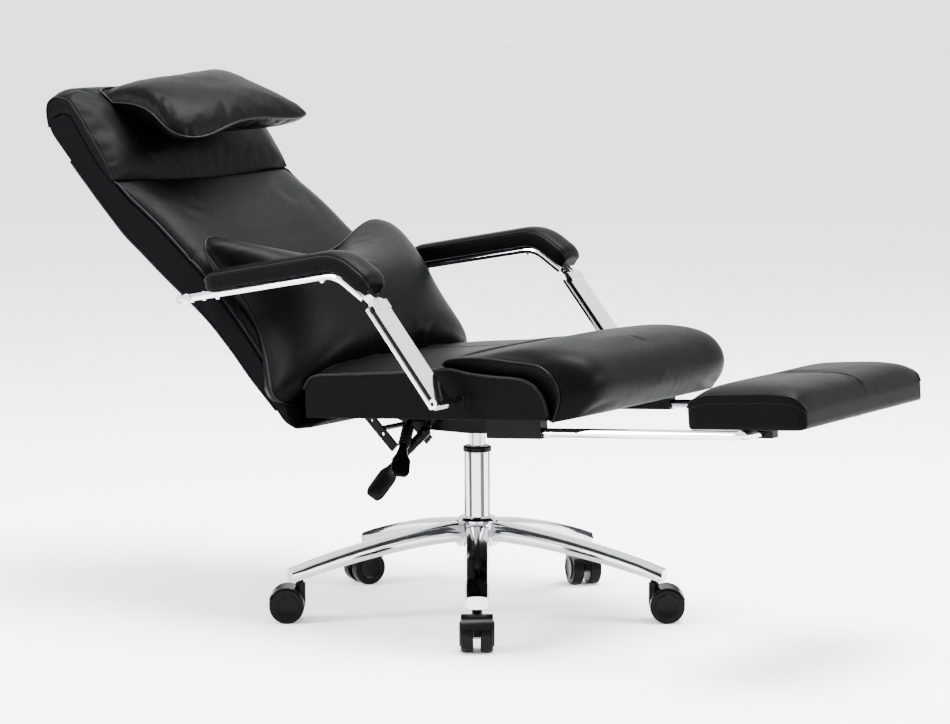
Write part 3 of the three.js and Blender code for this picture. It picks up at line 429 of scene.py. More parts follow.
def mirrored(*shares):
    return [sign * share for sign in (-1, 1) for share in shares]


def hump(share, power):
    return max(0, 1 - abs(share) ** power)


def groove(distance, width):
    return math.exp(-(distance / width) ** 2)


def lerp(low, high, share):
    return low + (high - low) * share


# Small folds square to a seam, which fade away from it
def gathered(distance, along, reach, wave, seed):
    if distance >= reach:
        return 0
    fade = (1 - distance / reach) ** 1.5 * min(1, distance / (reach * 0.12))
    ripple = noise.noise(Vector((along / wave, distance / (reach * 1.6), seed)))
    uneven = 0.6 + 0.8 * noise.noise(Vector((along / (wave * 5), 3.7, seed)))
    return fade * ripple * uneven


softPieces = []


def softPiece(name, spec, lines, place, pinned, body, node, fill, finish="leather"):
    mesh, grid = gridBlock(lines, place)
    made = meshObject(name, mesh, finishes[finish])
    softPieces.append({"piece": made, "grid": grid, "spec": spec, "pinned": pinned, "body": body,
                       "node": node, "fill": fill,
                       "rest": [vert.co.copy() for vert in made.data.vertices]})


# All cushions are blown up together; a point moves no further than its piece's cap
simulationFrames = 16
clothSettings = {"quality": 4, "mass": 0.3, "vertex_group_mass": "seams", "pin_stiffness": 1, "use_pressure": True,
                 "tension_stiffness": 18, "compression_stiffness": 10, "shear_stiffness": 6, "air_damping": 4}


def blowUp():
    for soft in softPieces:
        spec, piece = soft["spec"], soft["piece"]
        seams = piece.vertex_groups.new(name="seams")
        for index, share in enumerate(soft["grid"]):
            seams.add([index], soft["pinned"](*share), "REPLACE")
        cloth = piece.modifiers.new("Cloth", "CLOTH")
        settings = cloth.settings
        for key, value in clothSettings.items():
            setattr(settings, key, value)
        settings.uniform_pressure_force = spec["pressure"]
        settings.shrink_min = -spec["ease"]
        settings.bending_stiffness = spec["bending"]
        settings.effector_weights.gravity = 0
        cloth.collision_settings.use_collision = False
        cloth.point_cache.frame_start = 1
        cloth.point_cache.frame_end = simulationFrames
    for step in range(1, simulationFrames + 1):
        scene.frame_set(step)
    graph = bpy.context.evaluated_depsgraph_get()
    moved = {}
    for soft in softPieces:
        shaped = soft["piece"].evaluated_get(graph).data
        moved[soft["piece"].name] = [vert.co.copy() for vert in shaped.vertices]
    for soft in softPieces:
        piece = soft["piece"]
        piece.modifiers.clear()
        piece.vertex_groups.clear()
        for vert, start, end in zip(piece.data.vertices, soft["rest"], moved[piece.name]):
            step = end - start
            if step.length > soft["spec"]["cap"]:
                step *= soft["spec"]["cap"] / step.length
            vert.co = start + step
    scene.frame_set(1)


# Tube along a line of points, for piping
def tube(name, points, radius, body, closed=False):
    line = bpy.data.curves.new(name, "CURVE")
    line.dimensions = "3D"
    line.bevel_depth = radius
    line.bevel_resolution = 2
    line.use_fill_caps = True
    spline = line.splines.new("POLY")
    spline.points.add(len(points) - 1)
    for point, place in zip(spline.points, points):
        point.co = (*place, 1)
    spline.use_cyclic_u = closed
    holder = bpy.data.objects.new(name + "Line", line)
    scene.collection.objects.link(holder)
    graph = bpy.context.evaluated_depsgraph_get()
    data = bpy.data.meshes.new_from_object(holder.evaluated_get(graph))
    bpy.data.objects.remove(holder)
    bpy.data.curves.remove(line)
    for face in data.polygons:
        face.use_smooth = True
    data.materials.clear()
    # Piping takes the leather painted lighter, a painted highlight along the seams
    data.materials.append(finishes["paintedLitPipingLeather"])
    data.name = name
    made = bpy.data.objects.new(name, data)
    scene.collection.objects.link(made)
    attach(made, body)


# Rows of stitches laid on a surface, each a small spindle
stitch = {"length": 0.0042, "pitch": 0.0062, "radius": 0.00055, "rise": 0.0004}


def stitches(name, rows, body):
    mesh = bmesh.new()
    for points in rows:
        ends = [0]
        for before, after in zip(points, points[1:]):
            ends.append(ends[-1] + (after - before).length)
        count = int(ends[-1] / stitch["pitch"])
        at = 0
        for i in range(count):
            middle = (i + 0.5) * stitch["pitch"]
            while ends[at + 1] < middle and at < len(points) - 2:
                at += 1
            run = points[at + 1] - points[at]
            share = (middle - ends[at]) / max(run.length, 1e-9)
            centre = points[at].lerp(points[at + 1], share)
            turn = run.to_track_quat("X", "Z").to_matrix().to_4x4()
            size = Matrix.Diagonal((stitch["length"] / 2, stitch["radius"], stitch["radius"], 1))
            bmesh.ops.create_icosphere(mesh, subdivisions=1, radius=1,
                                       matrix=Matrix.Translation(centre) @ turn @ size)
    made = meshObject(name, mesh, finishes["thread"])
    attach(made, body)


# Line of a piece's grid points, from the shares that stay the same along it, raised a little off the piece
def seamLine(soft, fixed, rise=0):
    free = next(axis for axis in range(3) if axis not in fixed)
    found = []
    for share, vert in zip(soft["grid"], soft["piece"].data.vertices):
        if all(abs(share[axis] - value) < 0.0005 for axis, value in fixed.items()):
            found.append((share[free], vert.co + vert.normal * rise))
    return [place for _, place in sorted(found, key=lambda pair: pair[0])]


# Back, whose outline gives shares of its length, and of its sweep at its rear face and front seam
back = {"halfWidth": 0.263, "length": 0.777, "sweep": 0.1, "low": 0.005, "high": 0.967, "rearLine": -0.93,
        "sideLines": (0.985, 0.975), "pipedRows": (6, -12)}
backOutline = curveThrough([
    (0.005, -0.28, -0.27), (0.026, -0.33, -0.2), (0.054, -0.32, -0.08), (0.08, -0.32, 0),
    (0.157, -0.31, 0.06), (0.224, -0.27, 0.12), (0.322, -0.25, 0.19), (0.405, -0.31, 0.22),
    (0.477, -0.38, 0.18), (0.575, -0.45, 0.13), (0.628, -0.49, 0.08), (0.685, -0.48, 0.02),
    (0.749, -0.46, 0.003), (0.777, -0.445, 0), (0.817, -0.43, 0.03), (0.861, -0.405, 0.09),
    (0.905, -0.38, 0.156), (0.934, -0.365, 0.19), (0.9524, -0.33, 0.12), (0.9614, -0.29, 0.016),
    (0.967, -0.2, -0.14),
])
# Round the head, from the neck up the front, over the top and down to the rear: inner y and z, outer y and z
headRows = [
    (0.577, 0.0005, 0.576, 0.007), (0.604, 0, 0.601, 0.015), (0.635, 0.003, 0.635, 0.022),
    (0.669, 0.009, 0.675, 0.029), (0.703, 0.0156, 0.709, 0.035), (0.720, 0.0188, 0.732, 0.038),
    (0.729, 0.019, 0.747, 0.039), (0.738, 0.0135, 0.760, 0.033), (0.745, 0.006, 0.775, 0.0205),
    (0.7495, -0.003, 0.780, 0.004), (0.7514, -0.011, 0.775, -0.008), (0.751, -0.020, 0.764, -0.019),
    (0.746, -0.029, 0.748, -0.030),
]
headOutline = curveThrough([(i / (len(headRows) - 1), *row) for i, row in enumerate(headRows)])
backPad = {"halfWidth": 0.254, "edge": 0.006, "crown": 0.024, "from": 0.08, "to": 0.741,
           "seam": 0.465, "seamDepth": 0.003, "seamWidth": 0.004, "drawIn": 0.012, "neckSag": 0.013,
           "edgeLine": 0.985, "stitchLine": 0.962, "pressure": 2, "ease": -0.004, "cap": 0.003, "bending": 3}
headPad = {"halfWidth": 0.258, "crown": 0.017, "drawIn": 0.008, "stitchLine": 0.985, "fold": 0.0045,
           "foldReach": 0.05, "foldWave": 0.011, "foldRun": 0.26, "seeds": (5.1, 9.4), "pressure": 3, "ease": 0.006,
           "cap": 0.004, "bending": 0.8}


def makeBackShell():
    def place(a, b, c):
        share = lerp(back["low"], back["high"], (b + 1) / 2)
        rear, front = backOutline(share)
        z = back["sweep"] * lerp(rear, front, (c + 1) / 2)
        return backFrame @ Vector((a * back["halfWidth"], back["length"] * share, z))

    lines = (evenly(16, *mirrored(*back["sideLines"])), evenly(110), evenly(6, back["rearLine"]))
    mesh, grid = gridBlock(lines, place)
    # The shell takes the leather painted lighter, as painted light on its sides
    shell = meshObject("backShell", mesh, finishes["paintedLitShellLeather"])
    smoothed(shell, 1)
    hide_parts("back_shell")
    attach(shell, "back")
    return {"piece": shell, "grid": grid}


def backPadPlace(a, b, c):
    share = lerp(backPad["from"], backPad["to"], (b + 1) / 2)
    front = backOutline(share)[1] * back["sweep"] + fitGap
    drawIn = 1 - backPad["drawIn"] * hump(b, 2) * (1 - c * c)
    edge = backPad["edge"] * (0.3 + 0.7 * min(1, hump(b, 8) * 4))
    rise = backPad["crown"] * hump(a, 14) * math.sqrt(hump(b, 6))
    sideways = min(1, max(0, abs(a) * 6 - 4.8))
    fromSeam = back["length"] * (share - backPad["seam"])
    seam = backPad["seamDepth"] * sideways * groove(fromSeam, backPad["seamWidth"])
    z = front + (edge * (c + 1) / 2) + (rise - seam if c > atEdge else 0)
    y = back["length"] * share - backPad["neckSag"] * hump(a, 2) * max(b, 0) ** 8
    return backFrame @ Vector((a * backPad["halfWidth"] * drawIn, y, z))


def headPadPlace(a, b, c):
    innerY, innerZ, outerY, outerZ = headOutline((b + 1) / 2)
    inner, outer = Vector((0, innerY, innerZ)), Vector((0, outerY, outerZ))
    out = (outer - inner).normalized()
    point = (inner + out * fitGap).lerp(outer, (c + 1) / 2)
    if c > atEdge:
        away = (1 - abs(a)) * headPad["halfWidth"]
        fold = gathered(away, (b + 1) / 2 * headPad["foldRun"], headPad["foldReach"], headPad["foldWave"],
                        headPad["seeds"][0 if a < 0 else 1])
        point += out * (headPad["crown"] * hump(a, 12) * math.sqrt(hump(b, 6)) + headPad["fold"] * fold)
    point.y -= backPad["neckSag"] * hump(a, 2) * max(-b, 0) ** 8
    point.x = a * headPad["halfWidth"] * (1 - headPad["drawIn"] * hump(c, 2) * hump(b, 4))
    return backFrame @ point


# Weight that holds a point while the piece is blown up
def onRim(a, b, c):
    return 0 if c > atEdge and abs(a) < atEdge and abs(b) < atEdge else 1


# The same, with the seam down the middle held too
def onRimAndMiddle(spec):
    return lambda a, b, c: 1 if abs(a) < spec["middleHeld"] else onRim(a, b, c)


def makeBackPads():
    across = evenly(64, *mirrored(backPad["edgeLine"], backPad["stitchLine"]))
    softPiece("backPad", backPad, (across, evenly(90), evenly(2)), backPadPlace, onRim, "back", "back_pad", 0.8)
    across = evenly(72, *mirrored(headPad["stitchLine"]))
    softPiece("headPad", headPad, (across, evenly(50), evenly(4)), headPadPlace, onRim, "back", "head_pad", 0.8)


# Loose pillows, drawn in between their corners
headPillow = {"halfWidth": 0.186, "halfLength": 0.120, "along": 0.661, "plane": 0.097, "pitch": 22.3, "roll": 4,
              "front": 0.041, "rear": 0.034, "edge": 0.0015, "sideDrawIn": 0.10, "headDrawIn": 0.09,
              "footDrawIn": 0.11, "sag": 0, "headFill": (3, 0.66), "footFill": (3, 0.66), "rearSide": 6,
              "corners": (0.05, 0.09, 0.19, 0.075), "arch": 0.018, "leftDroop": 0.022, "rightLift": 0.012,
              "nearDroop": 0.005, "nearArch": 0.013, "lines": (60, 44),
              "pressure": 4, "ease": 0.008, "cap": 0.008, "bending": 0.6, "fold": 0.004, "seed": 2.3,
              "pipe": 0.0021}
lumbarPillow = {"halfWidth": 0.293, "halfLength": 0.176, "along": 0.198, "plane": 0.041, "pitch": -15.7,
                "roll": 0, "front": 0.122, "rear": 0.045, "edge": 0.0015, "sideDrawIn": 0.18, "headDrawIn": 0.43,
                "footDrawIn": 0.12, "sag": 0.034, "headFill": (2, 0.66), "footFill": (8, 0.9), "rearSide": 12,
                "corners": (0.095, 0.095, 0.075, 0.075), "arch": 0, "leftDroop": 0, "rightLift": 0, "nearDroop": 0,
                "nearArch": 0, "lines": (76, 60), "pressure": 3,
                "ease": 0.001, "cap": 0.005, "bending": 1.2, "fold": 0.003, "seed": 7.9, "pipe": 0.0023}
# Powers of the draw-in and reach and wave of the folds, for both pillows
pillowEdge = {"earing": 1.5, "foldReach": 0.06, "foldWave": 0.012, "seedStep": 5, "clearance": 0.001,
              "pipingSides": {"headPillow": 60, "lumbarPillow": 72}}


# Share of 0 to 1 that leaves and arrives level
def eased(share):
    share = min(1, max(0, share))
    return share * share * (3 - 2 * share)


def pillowFrame(spec):
    return (backFrame @ Matrix.Translation((0, spec["along"], spec["plane"]))
            @ Matrix.Rotation(-math.radians(spec["pitch"]), 4, "X")
            @ Matrix.Rotation(-math.radians(spec["roll"]), 4, "Y"))


def pillowPlace(spec):
    lying = pillowFrame(spec)

    def place(a, b, c):
        side, end = math.sin(a * math.pi / 2), math.sin(b * math.pi / 2)
        power, flatness = spec["headFill" if end > 0 else "footFill"]
        fill = hump(side, 4 if c > 0 else spec["rearSide"]) ** 0.5 * hump(end, power) ** flatness
        corner = spec["corners"][(2 if end < 0 else 0) + (1 if side > 0 else 0)]
        sharpness = 1 / corner - 1
        drawIn = spec["headDrawIn" if end > 0 else "footDrawIn"]
        x = (spec["halfWidth"] * side * (1 - corner * abs(end) ** sharpness)
             * (1 - spec["sideDrawIn"] * hump(end, 2) ** pillowEdge["earing"]))
        y = (spec["halfLength"] * end * (1 - corner * abs(side) ** sharpness)
             * (1 - drawIn * hump(side, 2) ** pillowEdge["earing"]))
        fromSide = (1 - abs(side)) * spec["halfWidth"]
        fromEnd = (1 - abs(end)) * spec["halfLength"]
        reach, wave = pillowEdge["foldReach"], pillowEdge["foldWave"]
        endSeed = spec["seed"] + pillowEdge["seedStep"]
        fold = spec["fold"] * (gathered(fromSide, y, reach, wave, spec["seed"] + (a > 0) + 2 * (c > 0))
                               + gathered(fromEnd, x, reach, wave, endSeed + (b > 0) + 2 * (c > 0)))
        bend = spec["arch"] * hump(side, 2) ** 2 * max(-end, 0) ** 2
        bend -= spec["sag"] * hump(side, 2) * max(end, 0) ** 2
        bend -= spec["leftDroop"] * max(-side, 0) ** 2 * max(end, 0) ** 2
        bend += spec["rightLift"] * max(side, 0) ** 2 * max(-end, 0) ** 2
        bend -= spec["nearDroop"] * eased(-side) * eased(-end)
        bend += spec["nearArch"] * max(-side, 0) ** 2 * hump(end, 2) ** 2
        if c > 0.5:
            z = spec["edge"] + spec["front"] * fill + fold
        elif c < -0.5:
            z = -spec["edge"] - spec["rear"] * fill + fold
        else:
            z = 0
        return lying @ Vector((x, y, z + bend))

    return place


def onPillowRim(a, b, c):
    return 1 if abs(a) > atEdge or abs(b) > atEdge or abs(c) < 0.5 else 0


def makePillows():
    for name, spec, node in (("headPillow", headPillow, "head_pillow"),
                             ("lumbarPillow", lumbarPillow, "lumbar_pillow")):
        across, along = spec["lines"]
        body = "back" if name == "headPillow" else "lumbar"
        softPiece(name, spec, (evenly(across), evenly(along), evenly(2)), pillowPlace(spec), onPillowRim,
                  body, node, 0.75, "pillowLeather")


# Points round a pillow's seam
def rim(place, count):
    shares = [-1 + 2 * i / count for i in range(count)]
    around = ([(share, -1) for share in shares] + [(1, share) for share in shares]
              + [(-share, 1) for share in shares] + [(-1, -share) for share in shares])
    return [place(a, b, 0) for a, b in around]


# Whatever lies on the pads is pushed up out of them, found by rays from above
probe = 0.3


def pushedUp(places, pads, upward, clearance):
    trees = []
    for pad in pads:
        data = pad["piece"].data
        trees.append(BVHTree.FromPolygons([vert.co.copy() for vert in data.vertices],
                                          [tuple(face.vertices) for face in data.polygons]))
    for place in places:
        for tree in trees:
            hit = tree.ray_cast(place + upward * probe, -upward)[0]
            if hit is not None and (place - hit).dot(upward) < clearance:
                place += upward * (clearance - (place - hit).dot(upward))
    return places


# Seat, with the outlines of its cushion and of the roll over its front
seat = {"halfWidth": 0.257, "front": -0.310, "rear": 0.187, "thickness": 0.085, "crown": 0.021,
        "seamDepth": 0.0028, "seamWidth": 0.004, "drawIn": 0.004, "edgeLine": 0.985, "seamLine": 0.008,
        "middleHeld": 0.01, "pressure": 3, "ease": 0.003, "cap": 0.005, "bending": 1.2}
seatOutline = curveThrough([
    (0, 0.1), (0.008, 0.33), (0.026, 0.54), (0.064, 0.72), (0.11, 0.81), (0.2, 0.85), (0.3, 0.91), (0.382, 1),
    (0.443, 0.99), (0.573, 0.936), (0.745, 0.91), (0.875, 0.89), (0.945, 0.87), (0.98, 0.78), (1, 0.61),
])
roll = {"halfWidth": 0.254, "rear": -0.1, "depth": 0.29, "base": -0.006, "height": 0.131,
        "footShare": 0.69, "edgeLine": 0.985, "endDrawIn": 0.05, "fold": 0.0035, "foldReach": 0.055,
        "foldWave": 0.014, "foldRun": 0.34, "seed": 4.4, "pressure": 2, "ease": -0.003, "cap": 0.003, "bending": 2}
rollRows = [
    (0.744, 0.016, 0.888, 0.063, 0.693, 0.016), (0.78, 0.19, 0.975, 0.286, 0.693, 0.143),
    (0.798, 0.349, 1, 0.492, 0.686, 0.254), (0.78, 0.524, 0.967, 0.683, 0.671, 0.349),
    (0.726, 0.659, 0.884, 0.835, 0.635, 0.429), (0.643, 0.746, 0.74, 0.925, 0.563, 0.492),
    (0.462, 0.794, 0.542, 0.955, 0.433, 0.54), (0.3, 0.833, 0.343, 0.92, 0.289, 0.571),
    (0.126, 0.833, 0.144, 0.855, 0.126, 0.603), (0.043, 0.802, 0.047, 0.805, 0.043, 0.643),
    (0.011, 0.746, 0, 0.735, 0.011, 0.69),
]
rollOutline = curveThrough([(i / (len(rollRows) - 1), *row) for i, row in enumerate(rollRows)])


def rollInnerHeight(y):
    for low, high in zip(rollRows, rollRows[1:]):
        start, end = (roll["rear"] - roll["depth"] * row[4] for row in (low, high))
        if start <= y <= end and end > start:
            share = (y - start) / (end - start)
            return roll["base"] + roll["height"] * lerp(low[5], high[5], share)
    return roll["base"] if y < roll["rear"] - roll["depth"] * roll["footShare"] else None


def seatPlace(a, b, c):
    share = (b + 1) / 2
    y = seat["front"] + (seat["rear"] - seat["front"]) * share
    high = seat["thickness"] * seatOutline(share)[0]
    seam = seat["seamDepth"] * groove(a * seat["halfWidth"], seat["seamWidth"])
    rise = seat["crown"] * hump(a, 4) * math.sqrt(hump(b, 6)) - seam
    z = high * (c + 1) / 2 + (rise if c > atEdge else 0)
    x = a * seat["halfWidth"] * (1 - seat["drawIn"] * hump(b, 2) * (1 - c * c))
    if abs(a) < seat["edgeLine"]:
        limit = rollInnerHeight(y)
        if limit is not None:
            z = min(z, max(limit - 2 * fitGap, 0))
    return seatFrame @ Vector((x, y, z))


def rollPlace(a, b, c):
    endY, endZ, middleY, middleZ, innerY, innerZ = rollOutline((b + 1) / 2)
    fill = hump(a, 14)
    outer = Vector((0, roll["rear"] - roll["depth"] * lerp(endY, middleY, fill),
                    roll["base"] + roll["height"] * lerp(endZ, middleZ, fill)))
    inner = Vector((0, roll["rear"] - roll["depth"] * innerY, roll["base"] + roll["height"] * innerZ))
    share = (c + 1) / 2
    x = a * roll["halfWidth"] * (1 - roll["endDrawIn"] * (1 - share) * abs(a) ** 20)
    point = inner.lerp(outer, share)
    fromFoot = (b + 1) / 2 * roll["foldRun"]
    if c > atEdge:
        fold = roll["fold"] * gathered(fromFoot, x, roll["foldReach"], roll["foldWave"], roll["seed"])
        point += (outer - inner).normalized() * fold
    point.x = x
    return seatFrame @ point


def makeSeat():
    across = evenly(72, *mirrored(seat["edgeLine"], seat["seamLine"]))
    softPiece("seatCushion", seat, (across, evenly(90), evenly(14)), seatPlace, onRimAndMiddle(seat), "seat",
              "seat_cushion", 0.9)
    across = evenly(72, *mirrored(roll["edgeLine"]))
    softPiece("frontRoll", roll, (across, evenly(54), evenly(3)), rollPlace, onRim, "seat", "front_cushion", 0.75)


# Footrest pad
footPad = {"halfWidth": 0.218, "front": -0.109, "depth": 0.213, "height": 0.059, "base": 0.0083,
           "crown": 0.012, "seamDepth": 0.003, "seamWidth": 0.004, "stitchLine": 0.985, "seamLines": (0.022, 0.01),
           "middleHeld": 0.013, "pressure": 3, "ease": 0.001, "cap": 0.003, "bending": 1.2}
footOutline = curveThrough([
    (0, 0.06, 0.58, 0.965), (0.025, 0.015, 0.74, 0.985), (0.083, 0, 0.89, 0.995), (0.165, 0, 0.955, 1),
    (0.3, 0, 0.99, 1), (0.49, 0, 0.98, 1), (0.66, 0, 0.97, 1), (0.835, 0, 0.945, 1), (0.927, 0, 0.84, 1),
    (0.982, 0, 0.72, 0.995), (1, 0.05, 0.59, 0.98),
])


def footPlace(a, b, c):
    share = (b + 1) / 2
    low, high, width = footOutline(share)
    y = footPad["front"] + footPad["depth"] * share
    seam = footPad["seamDepth"] * groove(a * footPad["halfWidth"], footPad["seamWidth"])
    rise = footPad["crown"] * hump(a, 12) * math.sqrt(hump(b, 6)) - seam
    z = footPad["base"] + footPad["height"] * lerp(low, high, (c + 1) / 2) + (rise if c > atEdge else 0)
    return footFrame @ Vector((a * footPad["halfWidth"] * width, y, z))


def makeFootPad():
    across = evenly(60, *mirrored(footPad["stitchLine"], *footPad["seamLines"]))
    softPiece("footPad", footPad, (across, evenly(34), evenly(4)), footPlace, onRimAndMiddle(footPad),
              "footrest_pad", "footrest_pad", 0.85)


# Arms, whose points are distances behind the column and above the floor, in the plane of each arm
arm = {"centre": 0.313, "halfWidth": 0.0225, "halfHeight": 0.007, "fillet": 0.031, "endBoss": 0.0085,
       "seatPivot": (-0.135, 0.414), "armPivot": (0.383, 0.562), "linkPivot": (-0.004, 0.573),
       "elbow": (0.068, 0.619), "knuckle": 0.016, "tail": 0.017}
armPad = {"halfWidth": 0.0285, "halfHeight": 0.0175, "rearInset": 0.042, "frontInset": 0.014,
          "shoulder": 0.5, "nose": 0.024, "pipe": 0.0013, "noseWidth": 0.62, "noseHeight": 0.45, "bulge": 0.03,
          "stitchHeight": 0.75, "screws": (("Rear", 0.19), ("Front", 0.9)), "screwOffset": 0.012}
linkTrim = {"spineDepth": 0.0055, "spineSunk": 0.001, "groove": (-0.0028, 0.0036), "knuckle": (-0.0078, -0.004),
            "armGroove": (-0.0045, -0.0033), "proud": 0.0003, "inset": 0.98, "eye": 0.001}
armSides = {"right": -1, "left": 1}


def inPlane(point):
    return Vector((0, *point))


def toward(start, end, distance):
    return start + (end - start).normalized() * distance


def filleted(corners, fillet, steps):
    points = [corners[0]]
    for before, corner, after in zip(corners, corners[1:], corners[2:]):
        start, end = toward(corner, before, fillet), toward(corner, after, fillet)
        for i in range(steps + 1):
            share = i / steps
            points.append(start.lerp(corner, share).lerp(corner.lerp(end, share), share))
    return points + [corners[-1]]


def alongPath(points):
    lengths = [0]
    for before, after in zip(points, points[1:]):
        lengths.append(lengths[-1] + (after - before).length)

    def at(share):
        target = share * lengths[-1]
        i = max(0, min(len(points) - 2, sum(1 for length in lengths[1:-1] if target >= length)))
        run = points[i + 1] - points[i]
        return points[i].lerp(points[i + 1], (target - lengths[i]) / run.length), run.normalized()

    return at, lengths[-1]


def armPadPath():
    link, elbow, pivot = inPlane(arm["linkPivot"]), inPlane(arm["elbow"]), inPlane(arm["armPivot"])
    lift = arm["halfHeight"] + fitGap + armPad["halfHeight"]
    frontRun, rearRun = (elbow - link).normalized(), (pivot - elbow).normalized()
    bend = (frontRun + rearRun).normalized()
    above = [Vector((0, -run.z, run.y)) for run in (frontRun, bend, rearRun)]
    corners = [toward(link, elbow, armPad["frontInset"]) + above[0] * lift,
               elbow + above[1] * (lift / bend.dot(rearRun)),
               toward(pivot, elbow, armPad["rearInset"]) + above[2] * lift]
    return alongPath(filleted(corners, arm["fillet"], 12))


def armPadPlace(side):
    at, length = armPadPath()

    def place(a, b, c):
        centre, run = at((b + 1) / 2)
        above = Vector((0, -run.z, run.y))
        fromEnd = (1 - abs(b)) * length / 2
        rounding = math.sqrt(1 - (1 - min(1, fromEnd / armPad["nose"])) ** 2)
        width = armPad["halfWidth"] * lerp(armPad["noseWidth"], 1, rounding) * (1 + armPad["bulge"] * hump(c, 2))
        top = lerp(armPad["shoulder"], 1, hump(a, 2.4) ** 0.6)
        high = (c + 1) * (1 + top) / 2 * lerp(armPad["noseHeight"], 1, rounding) - 1
        point = centre + above * (high * armPad["halfHeight"])
        point.x = side * arm["centre"] + a * width
        return standing @ point

    return place


# Bar across an arm between two points, whose depths are distances below its middle plane
def crossBar(name, start, end, side, halfWidth, depths, finish, body):
    low, high = depths
    run = (end - start).normalized()
    below = Vector((0, run.z, -run.y))

    def place(a, b, c):
        point = start.lerp(end, (b + 1) / 2) + below * lerp(low, high, (c + 1) / 2)
        point.x = side * arm["centre"] + a * halfWidth
        return standing @ point

    mesh, _ = gridBlock((evenly(1), evenly(1), evenly(1)), place)
    bmesh.ops.recalc_face_normals(mesh, faces=mesh.faces)
    made = meshObject(name, mesh, finishes[finish])
    for face in made.data.polygons:
        face.use_smooth = False
    bevel = made.modifiers.new("Bevel", "BEVEL")
    bevel.width = min(0.001, (high - low) * 0.2)
    bevel.segments = 2
    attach(made, body)


# Solid turned from rows of radius and height, set on a spot with its axis along a direction
def turnedPiece(name, rows, spot, direction, finish, body):
    mesh = bmesh.new()
    line = [mesh.verts.new((radius, 0, height)) for radius, height in rows]
    for before, after in zip(line, line[1:]):
        mesh.edges.new((before, after))
    bmesh.ops.spin(mesh, geom=mesh.verts[:] + mesh.edges[:], cent=(0, 0, 0), axis=(0, 0, 1),
                   angle=2 * math.pi, steps=40, use_merge=True)
    bmesh.ops.remove_doubles(mesh, verts=mesh.verts, dist=0.00001)
    bmesh.ops.recalc_face_normals(mesh, faces=mesh.faces)
    turn = direction.to_track_quat("Z", "Y").to_matrix().to_4x4()
    mesh.transform(Matrix.Translation(spot) @ turn)
    made = meshObject(name, mesh, finishes[finish])
    split = made.modifiers.new("Split", "EDGE_SPLIT")
    split.split_angle = math.radians(shading["bevelAngle"])
    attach(made, body)


# Turned ends and screws, as rows of radius and height: negative heights lie inside the arm
bossRadius, lipWidth = arm["endBoss"], 0.0025
armEnd = [(0, -0.044), (bossRadius, -0.044), (bossRadius, 0.001), (bossRadius - lipWidth, 0.001),
          (bossRadius - lipWidth, -0.006), (0, -0.006)]
armHole = [(0, -0.0055), (bossRadius - lipWidth * 1.2, -0.0055), (bossRadius - lipWidth * 1.2, -0.0045), (0, -0.0045)]
linkEye = [(0, -0.044), (bossRadius, -0.044), (bossRadius, 0.0012), (bossRadius - lipWidth, 0.0012),
           (bossRadius - lipWidth, 0.0002), (0, 0.0002)]
boltHead = [(0, 0.0048), (0.0032, 0.0046), (0.0044, 0.0034), (0.0046, 0.0003), (0, 0.0003)]
padScrew = [(0, 0.0035), (0.003, 0.0032), (0.0045, 0.0015), (0.0047, -0.001), (0, -0.001)]


